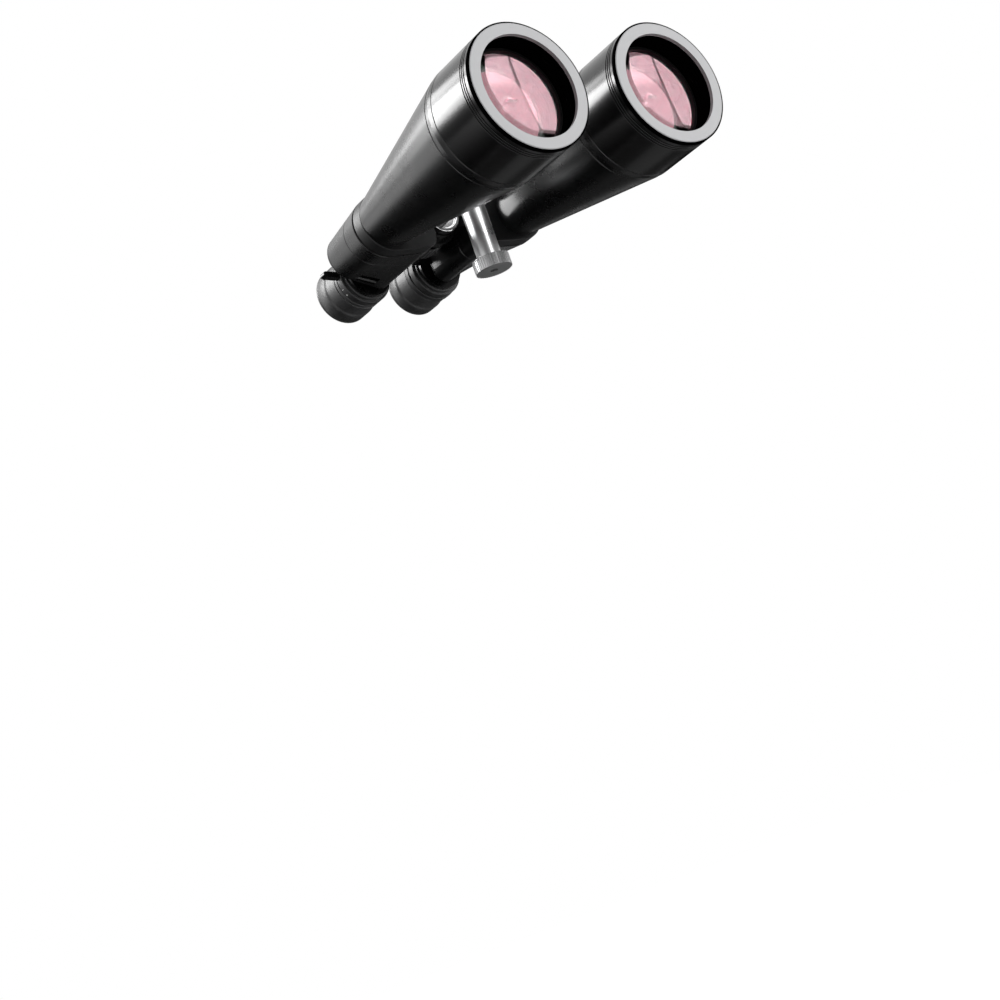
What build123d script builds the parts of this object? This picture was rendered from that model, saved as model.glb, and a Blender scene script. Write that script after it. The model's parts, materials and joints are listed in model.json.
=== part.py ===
"""Giant zoom binoculars on a tripod adapter.

Two halves turn about a common hinge to set the distance between the eyes. A wheel on the hinge
slides both eyepieces for focus, and a lever on the right eyepiece turns both zoom rings.
The objectives face -Y, +Z is up, and the origin is the middle of the tripod socket's mouth.
"""
import os
from math import atan2, ceil, cos, hypot, pi, radians, sin, sqrt

from build123d import *

os.makedirs("parts", exist_ok=True)

# Driving dimensions in millimetres. Stations count backward from the face of the front rings.
# Heights of the optical axes count up from the underside of the tripod foot.

# Layout of the axes
objective_spacing = 132.8
objective_height = 61.0
eye_spacing = 73.0
eyepiece_drop = 9.0
hinge_rise = 6.5
post_station = 180.8

# Fits and seams
fit = 0.02
running = 0.05
hinge_gap = 0.3
edge = 0.5

# Objective cell and its hood, from the clear aperture outward
clear_radius = 38.5
lens_seat = 2.5
spigot_seat = 5.0
cell_wall = 4.0
opening_margin = 1.6
cell_setback = 0.5
cell_length = 49.5
ring_border = 1.2
ring_thickness = 3.0
groove_first = 6.0
groove_pitch = 2.2
groove_width = 1.2
groove_depth = 0.7
groove_count = 3
hood_recess = 2.2
baffle_height = 0.9
baffle_pitch = 2.6

# Objective lenses
lens_station = 23.0
crown_edge = 5.5
flint_edge = 7.5
crown_bulge = 3.9
cement_bulge = 2.5
flint_bulge = 0.8
cement_gap = 0.05
retainer_length = 3.4
seat_length = 3.0

# Barrel between the cell and the prism housing
band_length = 9.7
band_step = 0.7
cone_length = 146.6
cone_rear_radius = 22.5
barrel_wall = 2.2
neck_step = 3.5
neck_length = 10.0
neck_wall = 2.0

# Prism housing
plate_length = 10.9
gasket_thickness = 1.6
gasket_inset = 1.1
body_length = 21.5
cover_length = 44.0
housing_wall = 2.5
lobe_margin = 3.0
lobe_taper = 6.2
lobe_shift_front = 2.9
lobe_shift_rear = 10.7
lobe_drop_front = 1.0
lobe_rise_rear = 3.4
housing_floor = 26.0
housing_roof = 25.0
lower_corner_radius = 11.0
upper_corner_radius = 10.0
cover_seam_setback = 2.6
cover_seam_width = 0.6
cover_seam_depth = 0.5
turret_wall = 1.5
turret_reach = 3.5
turret_depth = 5.5

# Prisms on their shelf
prism_half_width = 10.0
shelf_thickness = 2.5
prism_window_radius = 9.0
clip_width = 6.0
clip_thickness = 0.6
prism_gap = 0.1
shelf_clearance = 0.15

# Strap lug under the rear cover
strap_slot_width = 17.0
strap_slot_depth = 4.5
strap_slot_length = 11.0
strap_slot_setback = 3.7
strap_bar_radius = 1.4
strap_bar_depth = 1.6
strap_bar_gap = 1.6
strap_wall = 1.5

# Hinge and focus wheel
shaft_radius = 7.0
lug_length = 7.0
lug_radius = 16.5
front_right_lug_radius = 20.0
lug_clearance = 2.5
lug_web_height = 18.0
cap_radius = 15.5
cap_length = 6.0
cap_rim = 3.2
cap_recess = 1.6
nut_radius = 10.0
nut_length = 4.0
wheel_radius = 19.0
wheel_length = 18.0
wheel_setback = 4.7
wheel_flange = 1.6
grip_depth = 2.5
grip_proud = 0.5
grip_rib_pitch = 3.4
rod_radius = 4.0
rod_inside = 33.0

# Eyepieces
ocular_radius = 16.0
ocular_bore = 13.6
ocular_floor = 2.0
guide_radius = 9.0
guide_bore = 7.2
guide_inside = 15.0
ocular_end_gap = 12.0
ocular_lip = 2.0
bush_wall = 1.4
bush_length = 9.0
focus_room = 2.0
arm_thickness = 3.5
clamp_radius = 20.0
knuckle_radius = 9.0
arm_width = 10.0
rod_head_radius = 6.5
rod_head_length = 2.0
zoom_step_radius = 21.5
zoom_step_length = 3.2
zoom_ring_radius = 23.5
zoom_ring_length = 10.0
eyecup_radius = 24.0
eyecup_flare = 0.4
eyecup_length = 33.4
eyecup_band = 3.4
eyecup_mouth = 19.5
eyecup_mouth_flare = 1.5
diopter_length = 5.0
diopter_room = 1.2
eye_lens_edge = 5.0
eye_lens_bulge = 1.6
carriage_length = 12.0
carriage_wall = 1.6
carriage_setback = 6.0
zoom_lens_edge = 4.0
zoom_lens_bulge = 1.5

# Zoom lever
lever_angle = 171.0
lever_length = 15.0
lever_thickness = 5.0
lever_width = 6.0

# Tripod adapter
post_radius = 9.9
post_top = 12.0
spacer_radius = 7.5
spacer_wall = 4.0
screw_radius = 3.1
screw_clearance = 0.3
screw_engagement = 9.0
knob_radius = 8.5
knob_length = 11.0
knob_gap = 0.4
knob_rib_pitch = 3.0
foot_radius = 15.0
foot_height = 10.0
foot_rib_pitch = 2.0
rib_depth = 0.5
socket_radius = 3.175
socket_depth = 6.5
foot_spigot_radius = 5.0
foot_spigot_length = 3.0

# Radii worked out from the walls above
lens_radius = clear_radius + lens_seat
spigot_radius = lens_radius + spigot_seat
cell_radius = spigot_radius + cell_wall
opening_radius = clear_radius + opening_margin
cone_front_radius = cell_radius - band_step
neck_radius = cone_rear_radius - neck_step
lobe_radius = cone_rear_radius + lobe_margin

# Stations worked out from the lengths above
cell_rear = cell_setback + cell_length
band_rear = cell_rear + band_length
plate_front = band_rear + cone_length
plate_rear = plate_front + plate_length
body_front = plate_rear + gasket_thickness
body_rear = body_front + body_length
cover_rear = body_rear + cover_length
turret_end = cover_rear + turret_reach
shelf_rear = body_rear + shelf_thickness
crown_rear = lens_station + crown_edge
flint_front = crown_rear + cement_gap
flint_rear = flint_front + flint_edge
seat_rear = flint_rear + seat_length
spigot_front = seat_rear

cap_front = body_front - edge
cap_rear = cap_front + cap_length
front_lugs = {"left": cap_rear + hinge_gap, "right": cap_rear + lug_length + 2 * hinge_gap}
wheel_front = body_rear + wheel_setback
wheel_rear = wheel_front + wheel_length
rear_lugs = {"left": wheel_rear + 2 * hinge_gap, "right": wheel_rear + lug_length + 3 * hinge_gap}
nut_front = rear_lugs["right"] + lug_length + hinge_gap
nut_rear = nut_front + nut_length

arm_front = turret_end + focus_room
arm_rear = arm_front + arm_thickness
knuckle_front = arm_rear + hinge_gap
knuckle_rear = knuckle_front + arm_thickness
zoom_front = arm_rear + hinge_gap
zoom_rear = zoom_front + zoom_ring_length
diopter_front = zoom_rear + hinge_gap
cup_front = {"left": diopter_front + diopter_length + hinge_gap, "right": diopter_front}
cup_rear = diopter_front + eyecup_length
guide_front = cover_rear - guide_inside
ocular_shelf = arm_front + ocular_floor
ocular_rear = cup_rear - ocular_end_gap
eye_lens_rear = ocular_rear - ocular_lip
carriage_front = ocular_shelf + carriage_setback
carriage_rear = carriage_front + carriage_length
carriage_bore = ocular_bore - running - carriage_wall
zoom_lens_front = (carriage_front + carriage_rear - zoom_lens_edge) / 2

# Axes worked out from the layout
half_spacing = objective_spacing / 2
half_eyes = eye_spacing / 2
eyepiece_height = objective_height - eyepiece_drop
hinge_height = objective_height + hinge_rise
inner_face = front_right_lug_radius + lug_clearance
hinge_axis = Axis((0, 0, hinge_height), (0, 1, 0))
sides = {"left": 1, "right": -1}


def at(station):
    """Y of a station."""
    return station - post_station


def along_y(x, z):
    """Axis along Y through a point of the XZ plane."""
    return Axis((x, 0, z), (0, 1, 0))


def across(station):
    """Sketch plane square to Y at a station, with X to the right and Z up."""
    return Plane.XZ.offset(-at(station))


def turned(outline, axis, mode=Mode.ADD):
    """Turn an outline of (radius, station) points about an axis along Y."""
    with BuildSketch(Plane.XY.offset(axis.position.Z)) as profile:
        with BuildLine():
            Polyline(*[(axis.position.X + r, at(s)) for r, s in outline], close=True)
        make_face()
    revolve(profile.sketch, axis=axis, mode=mode)


def tube(outer, inner, front, rear):
    """Outline of a plain tube with chamfered outer edges."""
    return [
        (inner, front),
        (outer - edge, front),
        (outer, front + edge),
        (outer, rear - edge),
        (outer - edge, rear),
        (inner, rear),
    ]


def bored(radius, front, rear, axis):
    """Cut a round bore between two stations."""
    turned([(0, front), (radius, front), (radius, rear), (0, rear)], axis, mode=Mode.SUBTRACT)


def ground_lens(axis, radius, clear, front, rear, front_bulge, rear_bulge):
    """Turn a lens with a flat rim and two spherical faces, each bulge counted forward or backward."""
    x = axis.position.X
    with BuildSketch(Plane.XY.offset(axis.position.Z)) as profile:
        with BuildLine():
            front_top = (x, at(front - front_bulge))
            rear_top = (x, at(rear + rear_bulge))
            TangentArc(front_top, (x + clear, at(front)), tangent=(1, 0))
            rim = [(clear, front), (radius, front), (radius, rear), (clear, rear)]
            Polyline(*[(x + r, at(s)) for r, s in rim])
            TangentArc(rear_top, (x + clear, at(rear)), tangent=(1, 0))
            Line(rear_top, front_top)
        make_face()
    revolve(profile.sketch, axis=axis)


def housing_discs(station):
    """The three discs, as (outward, height, radius), that the housing's section is drawn round."""
    share = max(0.0, (station - body_front) / (cover_rear - body_front))
    shift = lobe_shift_front + share * (lobe_shift_rear - lobe_shift_front)
    rise = -lobe_drop_front + share * (lobe_rise_rear + lobe_drop_front)
    radius = lobe_radius - share * lobe_taper
    upper_height = objective_height + housing_roof - upper_corner_radius
    lower_height = objective_height - housing_floor + lower_corner_radius
    return [
        (half_spacing - shift, objective_height + rise, radius),
        (inner_face + upper_corner_radius, upper_height, upper_corner_radius),
        (inner_face + lower_corner_radius, lower_height, lower_corner_radius),
    ]


def belt_normal(disc, following):
    """Outward direction of the straight belt run from one disc to the next, going round leftward."""
    du, dz = following[0] - disc[0], following[1] - disc[1]
    run = hypot(du, dz)
    lean = (disc[2] - following[2]) / run
    upright = sqrt(1 - lean * lean)
    return Vector((du * lean + dz * upright) / run, (dz * lean - du * upright) / run)


def between(first, second):
    """Direction halfway from the first to the second, going round leftward."""
    start = atan2(first.Y, first.X)
    turn = (atan2(second.Y, second.X) - start) % (2 * pi)
    return Vector(cos(start + turn / 2), sin(start + turn / 2))


def on_disc(disc, direction, inset, sign):
    """Point of a disc's rim, drawn in by the inset, on the given side."""
    reach = disc[2] - inset
    return (sign * (disc[0] + reach * direction.X), disc[1] + reach * direction.Y)


def housing_section(sign, station, inset):
    """Section of the prism housing: a belt round its three discs, drawn in by the inset."""
    discs = housing_discs(station)
    normals = [belt_normal(discs[k], discs[(k + 1) % 3]) for k in range(3)]
    with BuildSketch(across(station)) as section:
        with BuildLine():
            for k in range(3):
                disc, following = discs[k], discs[(k + 1) % 3]
                middle = between(normals[k - 1], normals[k])
                start = on_disc(disc, normals[k - 1], inset, sign)
                top = on_disc(disc, middle, inset, sign)
                end = on_disc(disc, normals[k], inset, sign)
                ThreePointArc(start, top, end)
                Line(end, on_disc(following, normals[k], inset, sign))
        make_face()
    return section.sketch.face()


def housing_block(sign, front, rear, inset, bevel=0.0):
    """Loft the housing between two stations, with bevelled ends if asked."""
    stations = [(front, inset), (rear, inset)]
    if bevel:
        stations = [(front, inset + bevel), (front + bevel, inset)]
        stations += [(rear - bevel, inset), (rear, inset + bevel)]
    loft([housing_section(sign, s, drawn) for s, drawn in stations], ruled=True)


def hinge_lug(sign, front, radius, bore):
    """Ring round the hinge with a web to the housing's inner wall."""
    web = inner_face + housing_wall / 2
    with BuildSketch(across(front)) as lug:
        with Locations((0, hinge_height)):
            Circle(radius)
        with Locations((sign * web / 2, hinge_height)):
            Rectangle(web, lug_web_height)
        with Locations((0, hinge_height)):
            Circle(bore, mode=Mode.SUBTRACT)
    extrude(lug.sketch, amount=-lug_length)


def ribbed(radius, pitch, depth):
    """Disc with fine ribs round its rim, drawn in the active sketch."""
    Circle(radius)
    with PolarLocations(radius, ceil(2 * pi * radius / pitch)):
        Circle(depth, mode=Mode.SUBTRACT)


def finish(part, name):
    """Label a finished piece and write it out."""
    part.label = name
    export_step(part, f"parts/{name}.step")


# The prisms fold the light sideways and then down, from the objective's axis to the eyepiece's.
fold_across = half_spacing - half_eyes
fold_angle = atan2(eyepiece_drop, fold_across)
prism_shift = hypot(fold_across, eyepiece_drop) / sqrt(2)
first_angle = radians(45) - fold_angle
middle_out = half_spacing - prism_shift * cos(first_angle)
middle_height = objective_height + prism_shift * sin(first_angle)
prism_half_length = prism_shift / 2 + prism_half_width


def prism_plane(sign, start, end, station):
    """Plane square to Y, midway between two axes, with its X from the first axis to the second."""
    x_dir = (sign * (end[0] - start[0]), 0, end[1] - start[1])
    middle = (sign * (start[0] + end[0]) / 2, at(station), (start[1] + end[1]) / 2)
    return Plane(origin=middle, x_dir=x_dir, z_dir=(0, 1, 0))


def roof_outline(base, margin):
    """Triangle that stands off a roof prism's two short faces by a margin."""
    reach = prism_half_length + margin * sqrt(2)
    with BuildSketch(base) as outline:
        with BuildLine():
            Polyline((-reach, 0), (reach, 0), (0, reach), close=True)
        make_face()
    return outline.sketch


def roof_prism(plane, direction):
    """Right-angle prism with rounded ends, its long face on the plane and its ridge along Y."""
    side = Plane(origin=plane.origin, x_dir=plane.x_dir, z_dir=plane.x_dir.cross(Vector(0, direction, 0)))
    extrude(roof_outline(side, 0), amount=prism_half_width, both=True)
    with BuildSketch(plane) as ends:
        SlotCenterToCenter(prism_shift, 2 * prism_half_width)
    extrude(ends.sketch, amount=direction * prism_half_length, mode=Mode.INTERSECT)


def prism_clip(plane, direction):
    """Sprung strap bent over a prism's ridge."""
    side = Plane(origin=plane.origin, x_dir=plane.x_dir, z_dir=plane.x_dir.cross(Vector(0, direction, 0)))
    strap = roof_outline(side, prism_gap + clip_thickness) - roof_outline(side, prism_gap)
    extrude(strap, amount=clip_width / 2, both=True)


for side, sign in sides.items():
    objective_axis = along_y(sign * half_spacing, objective_height)
    eyepiece_axis = along_y(sign * half_eyes, eyepiece_height)
    axes_out = [(half_spacing, objective_height), (middle_out, middle_height), (half_eyes, eyepiece_height)]

    # Front ring, set into the cell's rim
    ring_radius = cell_radius - ring_border
    with BuildPart() as front_ring:
        turned(tube(ring_radius - fit, opening_radius, 0, ring_thickness), objective_axis)
    finish(front_ring.part, f"{side}_front_ring")

    # Objective cell with grooves outside and light baffles inside the hood
    hood_radius = opening_radius + hood_recess
    lens_bore = lens_radius + running
    retainer_front = lens_station - retainer_length
    outline = [(ring_radius, cell_setback), (cell_radius - edge / 2, cell_setback)]
    outline += [(cell_radius, cell_setback + edge / 2)]
    for k in range(groove_count):
        groove = groove_first + k * groove_pitch
        outline += [(cell_radius, groove), (cell_radius - groove_depth, groove + groove_width / 2)]
        outline += [(cell_radius, groove + groove_width)]
    outline += [(cell_radius, cell_rear - edge), (cell_radius - edge, cell_rear)]
    outline += [(spigot_radius + fit, cell_rear), (spigot_radius + fit, spigot_front)]
    outline += [(clear_radius, spigot_front), (clear_radius, flint_rear + fit)]
    outline += [(lens_bore, flint_rear + fit), (lens_bore, retainer_front), (hood_radius, retainer_front)]
    baffle_room = retainer_front - ring_thickness - fit
    baffle_count = int(baffle_room / baffle_pitch)
    for k in range(baffle_count):
        crest = retainer_front - (k + 0.5) * baffle_room / baffle_count
        outline += [(hood_radius, crest + baffle_pitch / 4), (hood_radius - baffle_height, crest)]
        outline += [(hood_radius, crest - baffle_pitch / 4)]
    outline += [(hood_radius, ring_thickness + fit), (ring_radius, ring_thickness + fit)]
    with BuildPart() as objective_cell:
        turned(outline, objective_axis)
    finish(objective_cell.part, f"{side}_objective_cell")

    # Lens pair and the ring that holds it
    with BuildPart() as lens_retainer:
        turned(tube(lens_radius, clear_radius, retainer_front, lens_station - fit), objective_axis)
    finish(lens_retainer.part, f"{side}_lens_retainer")
    with BuildPart() as crown_lens:
        bulges = (crown_bulge, cement_bulge)
        ground_lens(objective_axis, lens_radius, clear_radius, lens_station, crown_rear, *bulges)
    finish(crown_lens.part, f"{side}_crown_lens")
    with BuildPart() as flint_lens:
        bulges = (-cement_bulge, -flint_bulge)
        ground_lens(objective_axis, lens_radius, clear_radius, flint_front, flint_rear, *bulges)
    finish(flint_lens.part, f"{side}_flint_lens")

    # Band between the cell and the cone
    with BuildPart() as barrel_band:
        outline = [(spigot_radius + fit, cell_rear), (cell_radius - edge, cell_rear)]
        outline += [(cell_radius, cell_rear + edge), (cell_radius, (cell_rear + band_rear) / 2)]
        outline += [(cone_front_radius, band_rear - edge), (cone_front_radius - edge, band_rear)]
        outline += [(spigot_radius + fit, band_rear)]
        turned(outline, objective_axis)
    finish(barrel_band.part, f"{side}_barrel_band")

    # Conical barrel, with a spigot into the cell and a neck into the housing's front plate
    with BuildPart() as objective_barrel:
        neck_bore = neck_radius - neck_wall
        spigot_bore = spigot_radius - barrel_wall
        rear_bore = cone_rear_radius - barrel_wall
        outline = [(spigot_bore, spigot_front + fit), (spigot_radius, spigot_front + fit)]
        outline += [(spigot_radius, band_rear), (cone_front_radius - edge, band_rear)]
        outline += [(cone_front_radius, band_rear + edge), (cone_rear_radius, plate_front)]
        outline += [(neck_radius, plate_front), (neck_radius, plate_front + neck_length)]
        outline += [(neck_bore, plate_front + neck_length), (neck_bore, plate_front - neck_length)]
        outline += [(rear_bore, plate_front - neck_length - barrel_wall), (spigot_bore, band_rear)]
        turned(outline, objective_axis)
    finish(objective_barrel.part, f"{side}_objective_barrel")

    # Front plate of the prism housing, with a boss round the barrel's neck
    boss_radius = neck_radius + housing_wall
    with BuildPart() as plate_cavity:
        housing_block(sign, plate_front + housing_wall, plate_rear + housing_wall, housing_wall)
        bored(boss_radius, plate_front, plate_front + neck_length, objective_axis)
    with BuildPart() as front_plate:
        housing_block(sign, plate_front, plate_rear, 0, edge)
        add(plate_cavity.part, mode=Mode.SUBTRACT)
        bored(neck_radius + fit, plate_front - edge, plate_rear, objective_axis)
    finish(front_plate.part, f"{side}_front_plate")

    # Seal between the front plate and the prism body
    with BuildPart() as seal_hollow:
        housing_block(sign, plate_front, body_rear, housing_wall)
    with BuildPart() as housing_seal:
        housing_block(sign, plate_rear, body_front, gasket_inset)
        add(seal_hollow.part, mode=Mode.SUBTRACT)
    finish(housing_seal.part, f"{side}_housing_seal")

    # Prism body with the front hinge lug
    shaft_bore = shaft_radius + (fit if side == "left" else running)
    front_lug_radius = lug_radius if side == "left" else front_right_lug_radius
    with BuildPart() as body_hollow:
        housing_block(sign, plate_rear, shelf_rear, housing_wall)
    with BuildPart() as prism_body:
        housing_block(sign, body_front, body_rear, 0, edge)
        add(body_hollow.part, mode=Mode.SUBTRACT)
        hinge_lug(sign, front_lugs[side], front_lug_radius, shaft_bore)
    finish(prism_body.part, f"{side}_prism_body")

    # Strap slot, set in the slanting underside of the rear cover
    slot_rear = cover_rear - strap_slot_setback
    slot_station = slot_rear - strap_slot_length / 2
    discs = housing_discs(slot_station)
    slant = belt_normal(discs[2], discs[0])
    low_end = Vector(discs[2][0] + discs[2][2] * slant.X, discs[2][1] + discs[2][2] * slant.Y)
    high_end = Vector(discs[0][0] + discs[0][2] * slant.X, discs[0][1] + discs[0][2] * slant.Y)
    slot_mouth = (low_end + high_end) * 0.5
    slot_plane = Plane(
        origin=(sign * slot_mouth.X, at(slot_station), slot_mouth.Y),
        x_dir=(sign * -slant.Y, 0, slant.X),
        z_dir=(sign * slant.X, 0, slant.Y),
    )
    bar_station = slot_rear - strap_bar_gap - strap_bar_radius
    bar_half = strap_slot_width / 2 + strap_wall
    bar_centre = slot_plane.from_local_coords((0, 0, -strap_bar_depth))
    bar_centre += Vector(0, bar_station - slot_station, 0)
    bar_plane = Plane(origin=bar_centre, x_dir=(0, 1, 0), z_dir=slot_plane.x_dir)

    # Rear cover with its eyepiece turret, rear hinge lug and strap slot
    bush_radius = guide_radius + bush_wall
    with BuildPart() as cover_cavity:
        housing_block(sign, body_rear - housing_wall, cover_rear - housing_wall, housing_wall)
        housing_block(sign, body_rear - housing_wall, shelf_rear + fit, housing_wall / 2)
        with BuildSketch(slot_plane) as pocket_walls:
            Rectangle(strap_slot_width + 4 * strap_wall, strap_slot_length + 2 * strap_wall)
        extrude(pocket_walls.sketch, amount=-strap_slot_depth - strap_wall, mode=Mode.SUBTRACT)
    seam_front = cover_rear - cover_seam_setback
    seam_rear = seam_front + cover_seam_width
    with BuildPart() as cover_seam:
        housing_block(sign, seam_front, seam_rear, -cover_seam_depth)
    with BuildPart() as seam_bottom:
        housing_block(sign, seam_front - edge, seam_rear + edge, cover_seam_depth)
    with BuildPart() as rear_cover:
        housing_block(sign, body_rear, cover_rear, 0, edge)
        add(cover_seam.part - seam_bottom.part, mode=Mode.SUBTRACT)
        add(cover_cavity.part, mode=Mode.SUBTRACT)
        turret_front = cover_rear - turret_depth
        turned(tube(bush_radius + turret_wall, bush_radius, turret_front, turret_end), eyepiece_axis)
        bored(bush_radius + fit, turret_front - edge, turret_end + edge, eyepiece_axis)
        hinge_lug(sign, rear_lugs[side], lug_radius, shaft_bore)
        with BuildSketch(slot_plane) as pocket:
            Rectangle(strap_slot_width, strap_slot_length)
        extrude(pocket.sketch, amount=-strap_slot_depth, mode=Mode.SUBTRACT)
        extrude(pocket.sketch, amount=strap_slot_depth, mode=Mode.SUBTRACT)
        with BuildSketch(bar_plane) as bar_holes:
            Circle(strap_bar_radius + fit)
        extrude(bar_holes.sketch, amount=bar_half + fit, both=True, mode=Mode.SUBTRACT)
    finish(rear_cover.part, f"{side}_rear_cover")
    with BuildPart() as strap_bar:
        with BuildSketch(bar_plane):
            Circle(strap_bar_radius)
        extrude(amount=bar_half, both=True)
    finish(strap_bar.part, f"{side}_strap_bar")

    # Shelf, clamped in a step of the cover, with a window on each axis and the two prisms under their clips
    with BuildPart() as prism_shelf:
        housing_block(sign, body_rear + fit, shelf_rear, housing_wall / 2 + shelf_clearance)
        for out, height in axes_out:
            bored(prism_window_radius, body_rear - edge, shelf_rear + edge, along_y(sign * out, height))
    finish(prism_shelf.part, f"{side}_prism_shelf")
    rear_plane = prism_plane(sign, axes_out[0], axes_out[1], shelf_rear + fit)
    front_plane = prism_plane(sign, axes_out[1], axes_out[2], body_rear)
    with BuildPart() as rear_prism:
        roof_prism(rear_plane, 1)
    finish(rear_prism.part, f"{side}_rear_prism")
    with BuildPart() as front_prism:
        roof_prism(front_plane, -1)
    finish(front_prism.part, f"{side}_front_prism")
    with BuildPart() as prism_clips:
        prism_clip(rear_plane, 1)
        prism_clip(front_plane, -1)
    finish(prism_clips.part, f"{side}_prism_clips")

    # Bush that guides the sliding eyepiece
    with BuildPart() as ocular_bush:
        bush_front = turret_end - bush_length
        turned(tube(bush_radius, guide_radius + running, bush_front, turret_end), eyepiece_axis)
    finish(ocular_bush.part, f"{side}_ocular_bush")

    # Eyepiece tube with its eye lens; the left one has room to slide for the diopter setting
    lip_radius = ocular_bore - ocular_lip
    with BuildPart() as ocular_barrel:
        outline = [(guide_bore, guide_front), (guide_radius - edge, guide_front)]
        outline += [(guide_radius, guide_front + edge), (guide_radius, arm_front)]
        outline += [(ocular_radius, arm_front), (ocular_radius, ocular_rear), (lip_radius, ocular_rear)]
        outline += [(lip_radius, eye_lens_rear), (ocular_bore, eye_lens_rear)]
        outline += [(ocular_bore, ocular_shelf), (guide_bore, ocular_shelf)]
        turned(outline, eyepiece_axis)
    finish(ocular_barrel.part, f"{side}_ocular_barrel")
    with BuildPart() as eye_lens:
        lens_rear = eye_lens_rear - (diopter_room if side == "left" else fit)
        lens_front = lens_rear - eye_lens_edge
        rim = ocular_bore - running
        ground_lens(eyepiece_axis, rim, lip_radius, lens_front, lens_rear, eye_lens_bulge, eye_lens_bulge / 2)
    finish(eye_lens.part, f"{side}_eye_lens")

    # Arm from the eyepiece to the focus rod; the right arm steps back over the left one
    reach = Vector(sign * half_eyes, eyepiece_height - hinge_height)
    arm_start = 0 if side == "left" else knuckle_radius + hinge_gap
    with BuildPart() as bridge_arm:
        arm_plane = Plane(
            origin=(0, at(arm_front), hinge_height), x_dir=(reach.X, 0, reach.Y), z_dir=(0, -1, 0)
        )
        with BuildSketch(arm_plane) as arm:
            with Locations(((arm_start + reach.length) / 2, 0)):
                Rectangle(reach.length - arm_start, arm_width)
            with Locations((reach.length, 0)):
                Circle(clamp_radius)
            if side == "left":
                Circle(knuckle_radius)
        extrude(arm.sketch, amount=-arm_thickness)
        if side == "right":
            step_end = reach.length - zoom_ring_radius - lug_clearance
            with BuildSketch(arm_plane) as step:
                Circle(knuckle_radius)
                with Locations((step_end / 2, 0)):
                    Rectangle(step_end, arm_width)
            extrude(step.sketch, amount=at(arm_front) - at(knuckle_rear))
            bored(knuckle_radius + hinge_gap, arm_front, knuckle_front, hinge_axis)
        bored(ocular_radius + fit, arm_front - edge, arm_rear + edge, eyepiece_axis)
        rod_bore = rod_radius + (fit if side == "left" else running)
        bored(rod_bore, arm_front - edge, knuckle_rear + edge, hinge_axis)
    finish(bridge_arm.part, f"{side}_bridge_arm")

    # Zoom ring, with the sliding lens carriage that it drives
    with BuildPart() as zoom_ring:
        bore = ocular_radius + running
        step_rear = zoom_front + zoom_step_length
        outline = [(bore, zoom_front), (zoom_step_radius - edge, zoom_front)]
        outline += [(zoom_step_radius, zoom_front + edge), (zoom_step_radius, step_rear)]
        outline += [(zoom_ring_radius - edge, step_rear), (zoom_ring_radius, step_rear + edge)]
        outline += [(zoom_ring_radius, zoom_rear - edge), (zoom_ring_radius - edge, zoom_rear)]
        outline += [(bore, zoom_rear)]
        turned(outline, eyepiece_axis)
    finish(zoom_ring.part, f"{side}_zoom_ring")
    with BuildPart() as zoom_carriage:
        turned(tube(ocular_bore - running, carriage_bore, carriage_front, carriage_rear), eyepiece_axis)
    finish(zoom_carriage.part, f"{side}_zoom_carriage")
    with BuildPart() as zoom_lens:
        rim = carriage_bore - fit
        zoom_lens_rear = zoom_lens_front + zoom_lens_edge
        bulges = (zoom_lens_bulge, zoom_lens_bulge)
        ground_lens(eyepiece_axis, rim, rim - carriage_wall, zoom_lens_front, zoom_lens_rear, *bulges)
    finish(zoom_lens.part, f"{side}_zoom_lens")

    # Rubber eyecup
    with BuildPart() as eyecup:
        front = cup_front[side]
        inner = ocular_radius + fit
        outline = [(inner, front), (eyecup_radius - edge, front), (eyecup_radius, front + edge)]
        if side == "right":
            groove = front + eyecup_band
            outline += [(eyecup_radius, groove), (eyecup_radius - groove_depth, groove + groove_width / 2)]
            outline += [(eyecup_radius, groove + groove_width)]
        outline += [(eyecup_radius + eyecup_flare, cup_rear - edge), (eyecup_radius, cup_rear)]
        outline += [(eyecup_mouth + eyecup_mouth_flare, cup_rear), (eyecup_mouth, ocular_rear)]
        outline += [(inner, ocular_rear)]
        turned(outline, eyepiece_axis)
    finish(eyecup.part, f"{side}_eyecup")

# Diopter ring on the left eyepiece
left_eye_axis = along_y(half_eyes, eyepiece_height)
with BuildPart() as diopter_ring:
    diopter_rear = diopter_front + diopter_length
    turned(tube(eyecup_radius, ocular_radius + running, diopter_front, diopter_rear), left_eye_axis)
finish(diopter_ring.part, "diopter_ring")

# Zoom lever, standing out of the right zoom ring
with BuildPart() as zoom_lever:
    right_eye_axis = along_y(-half_eyes, eyepiece_height)
    lever_front = zoom_front + zoom_step_length + edge
    lever_root = zoom_ring_radius - lever_thickness
    lever_plane = Plane(
        origin=(-half_eyes, at(lever_front), eyepiece_height),
        x_dir=(cos(radians(lever_angle)), 0, sin(radians(lever_angle))),
        z_dir=(0, 1, 0),
    )
    lever_tip = zoom_ring_radius + lever_length
    with BuildSketch(lever_plane):
        with Locations(((lever_root + lever_tip) / 2, 0)):
            RectangleRounded(lever_tip - lever_root, lever_thickness, lever_thickness / 2 - fit)
    extrude(amount=lever_width)
    bored(zoom_ring_radius + fit, zoom_front, zoom_rear, right_eye_axis)
finish(zoom_lever.part, "zoom_lever")

# Hinge shaft: a socket for the adapter's screw in front, a bore for the focus rod behind
with BuildPart() as hinge_shaft:
    shaft_front = cap_front + cap_length / 2
    screw_end = shaft_front + screw_engagement
    turned(tube(shaft_radius, 0, shaft_front, nut_rear), hinge_axis)
    bored(screw_radius + screw_clearance, shaft_front - edge, screw_end + edge, hinge_axis)
    bored(rod_radius + running, arm_front - focus_room - rod_inside, nut_rear + edge, hinge_axis)
finish(hinge_shaft.part, "hinge_shaft")

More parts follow.
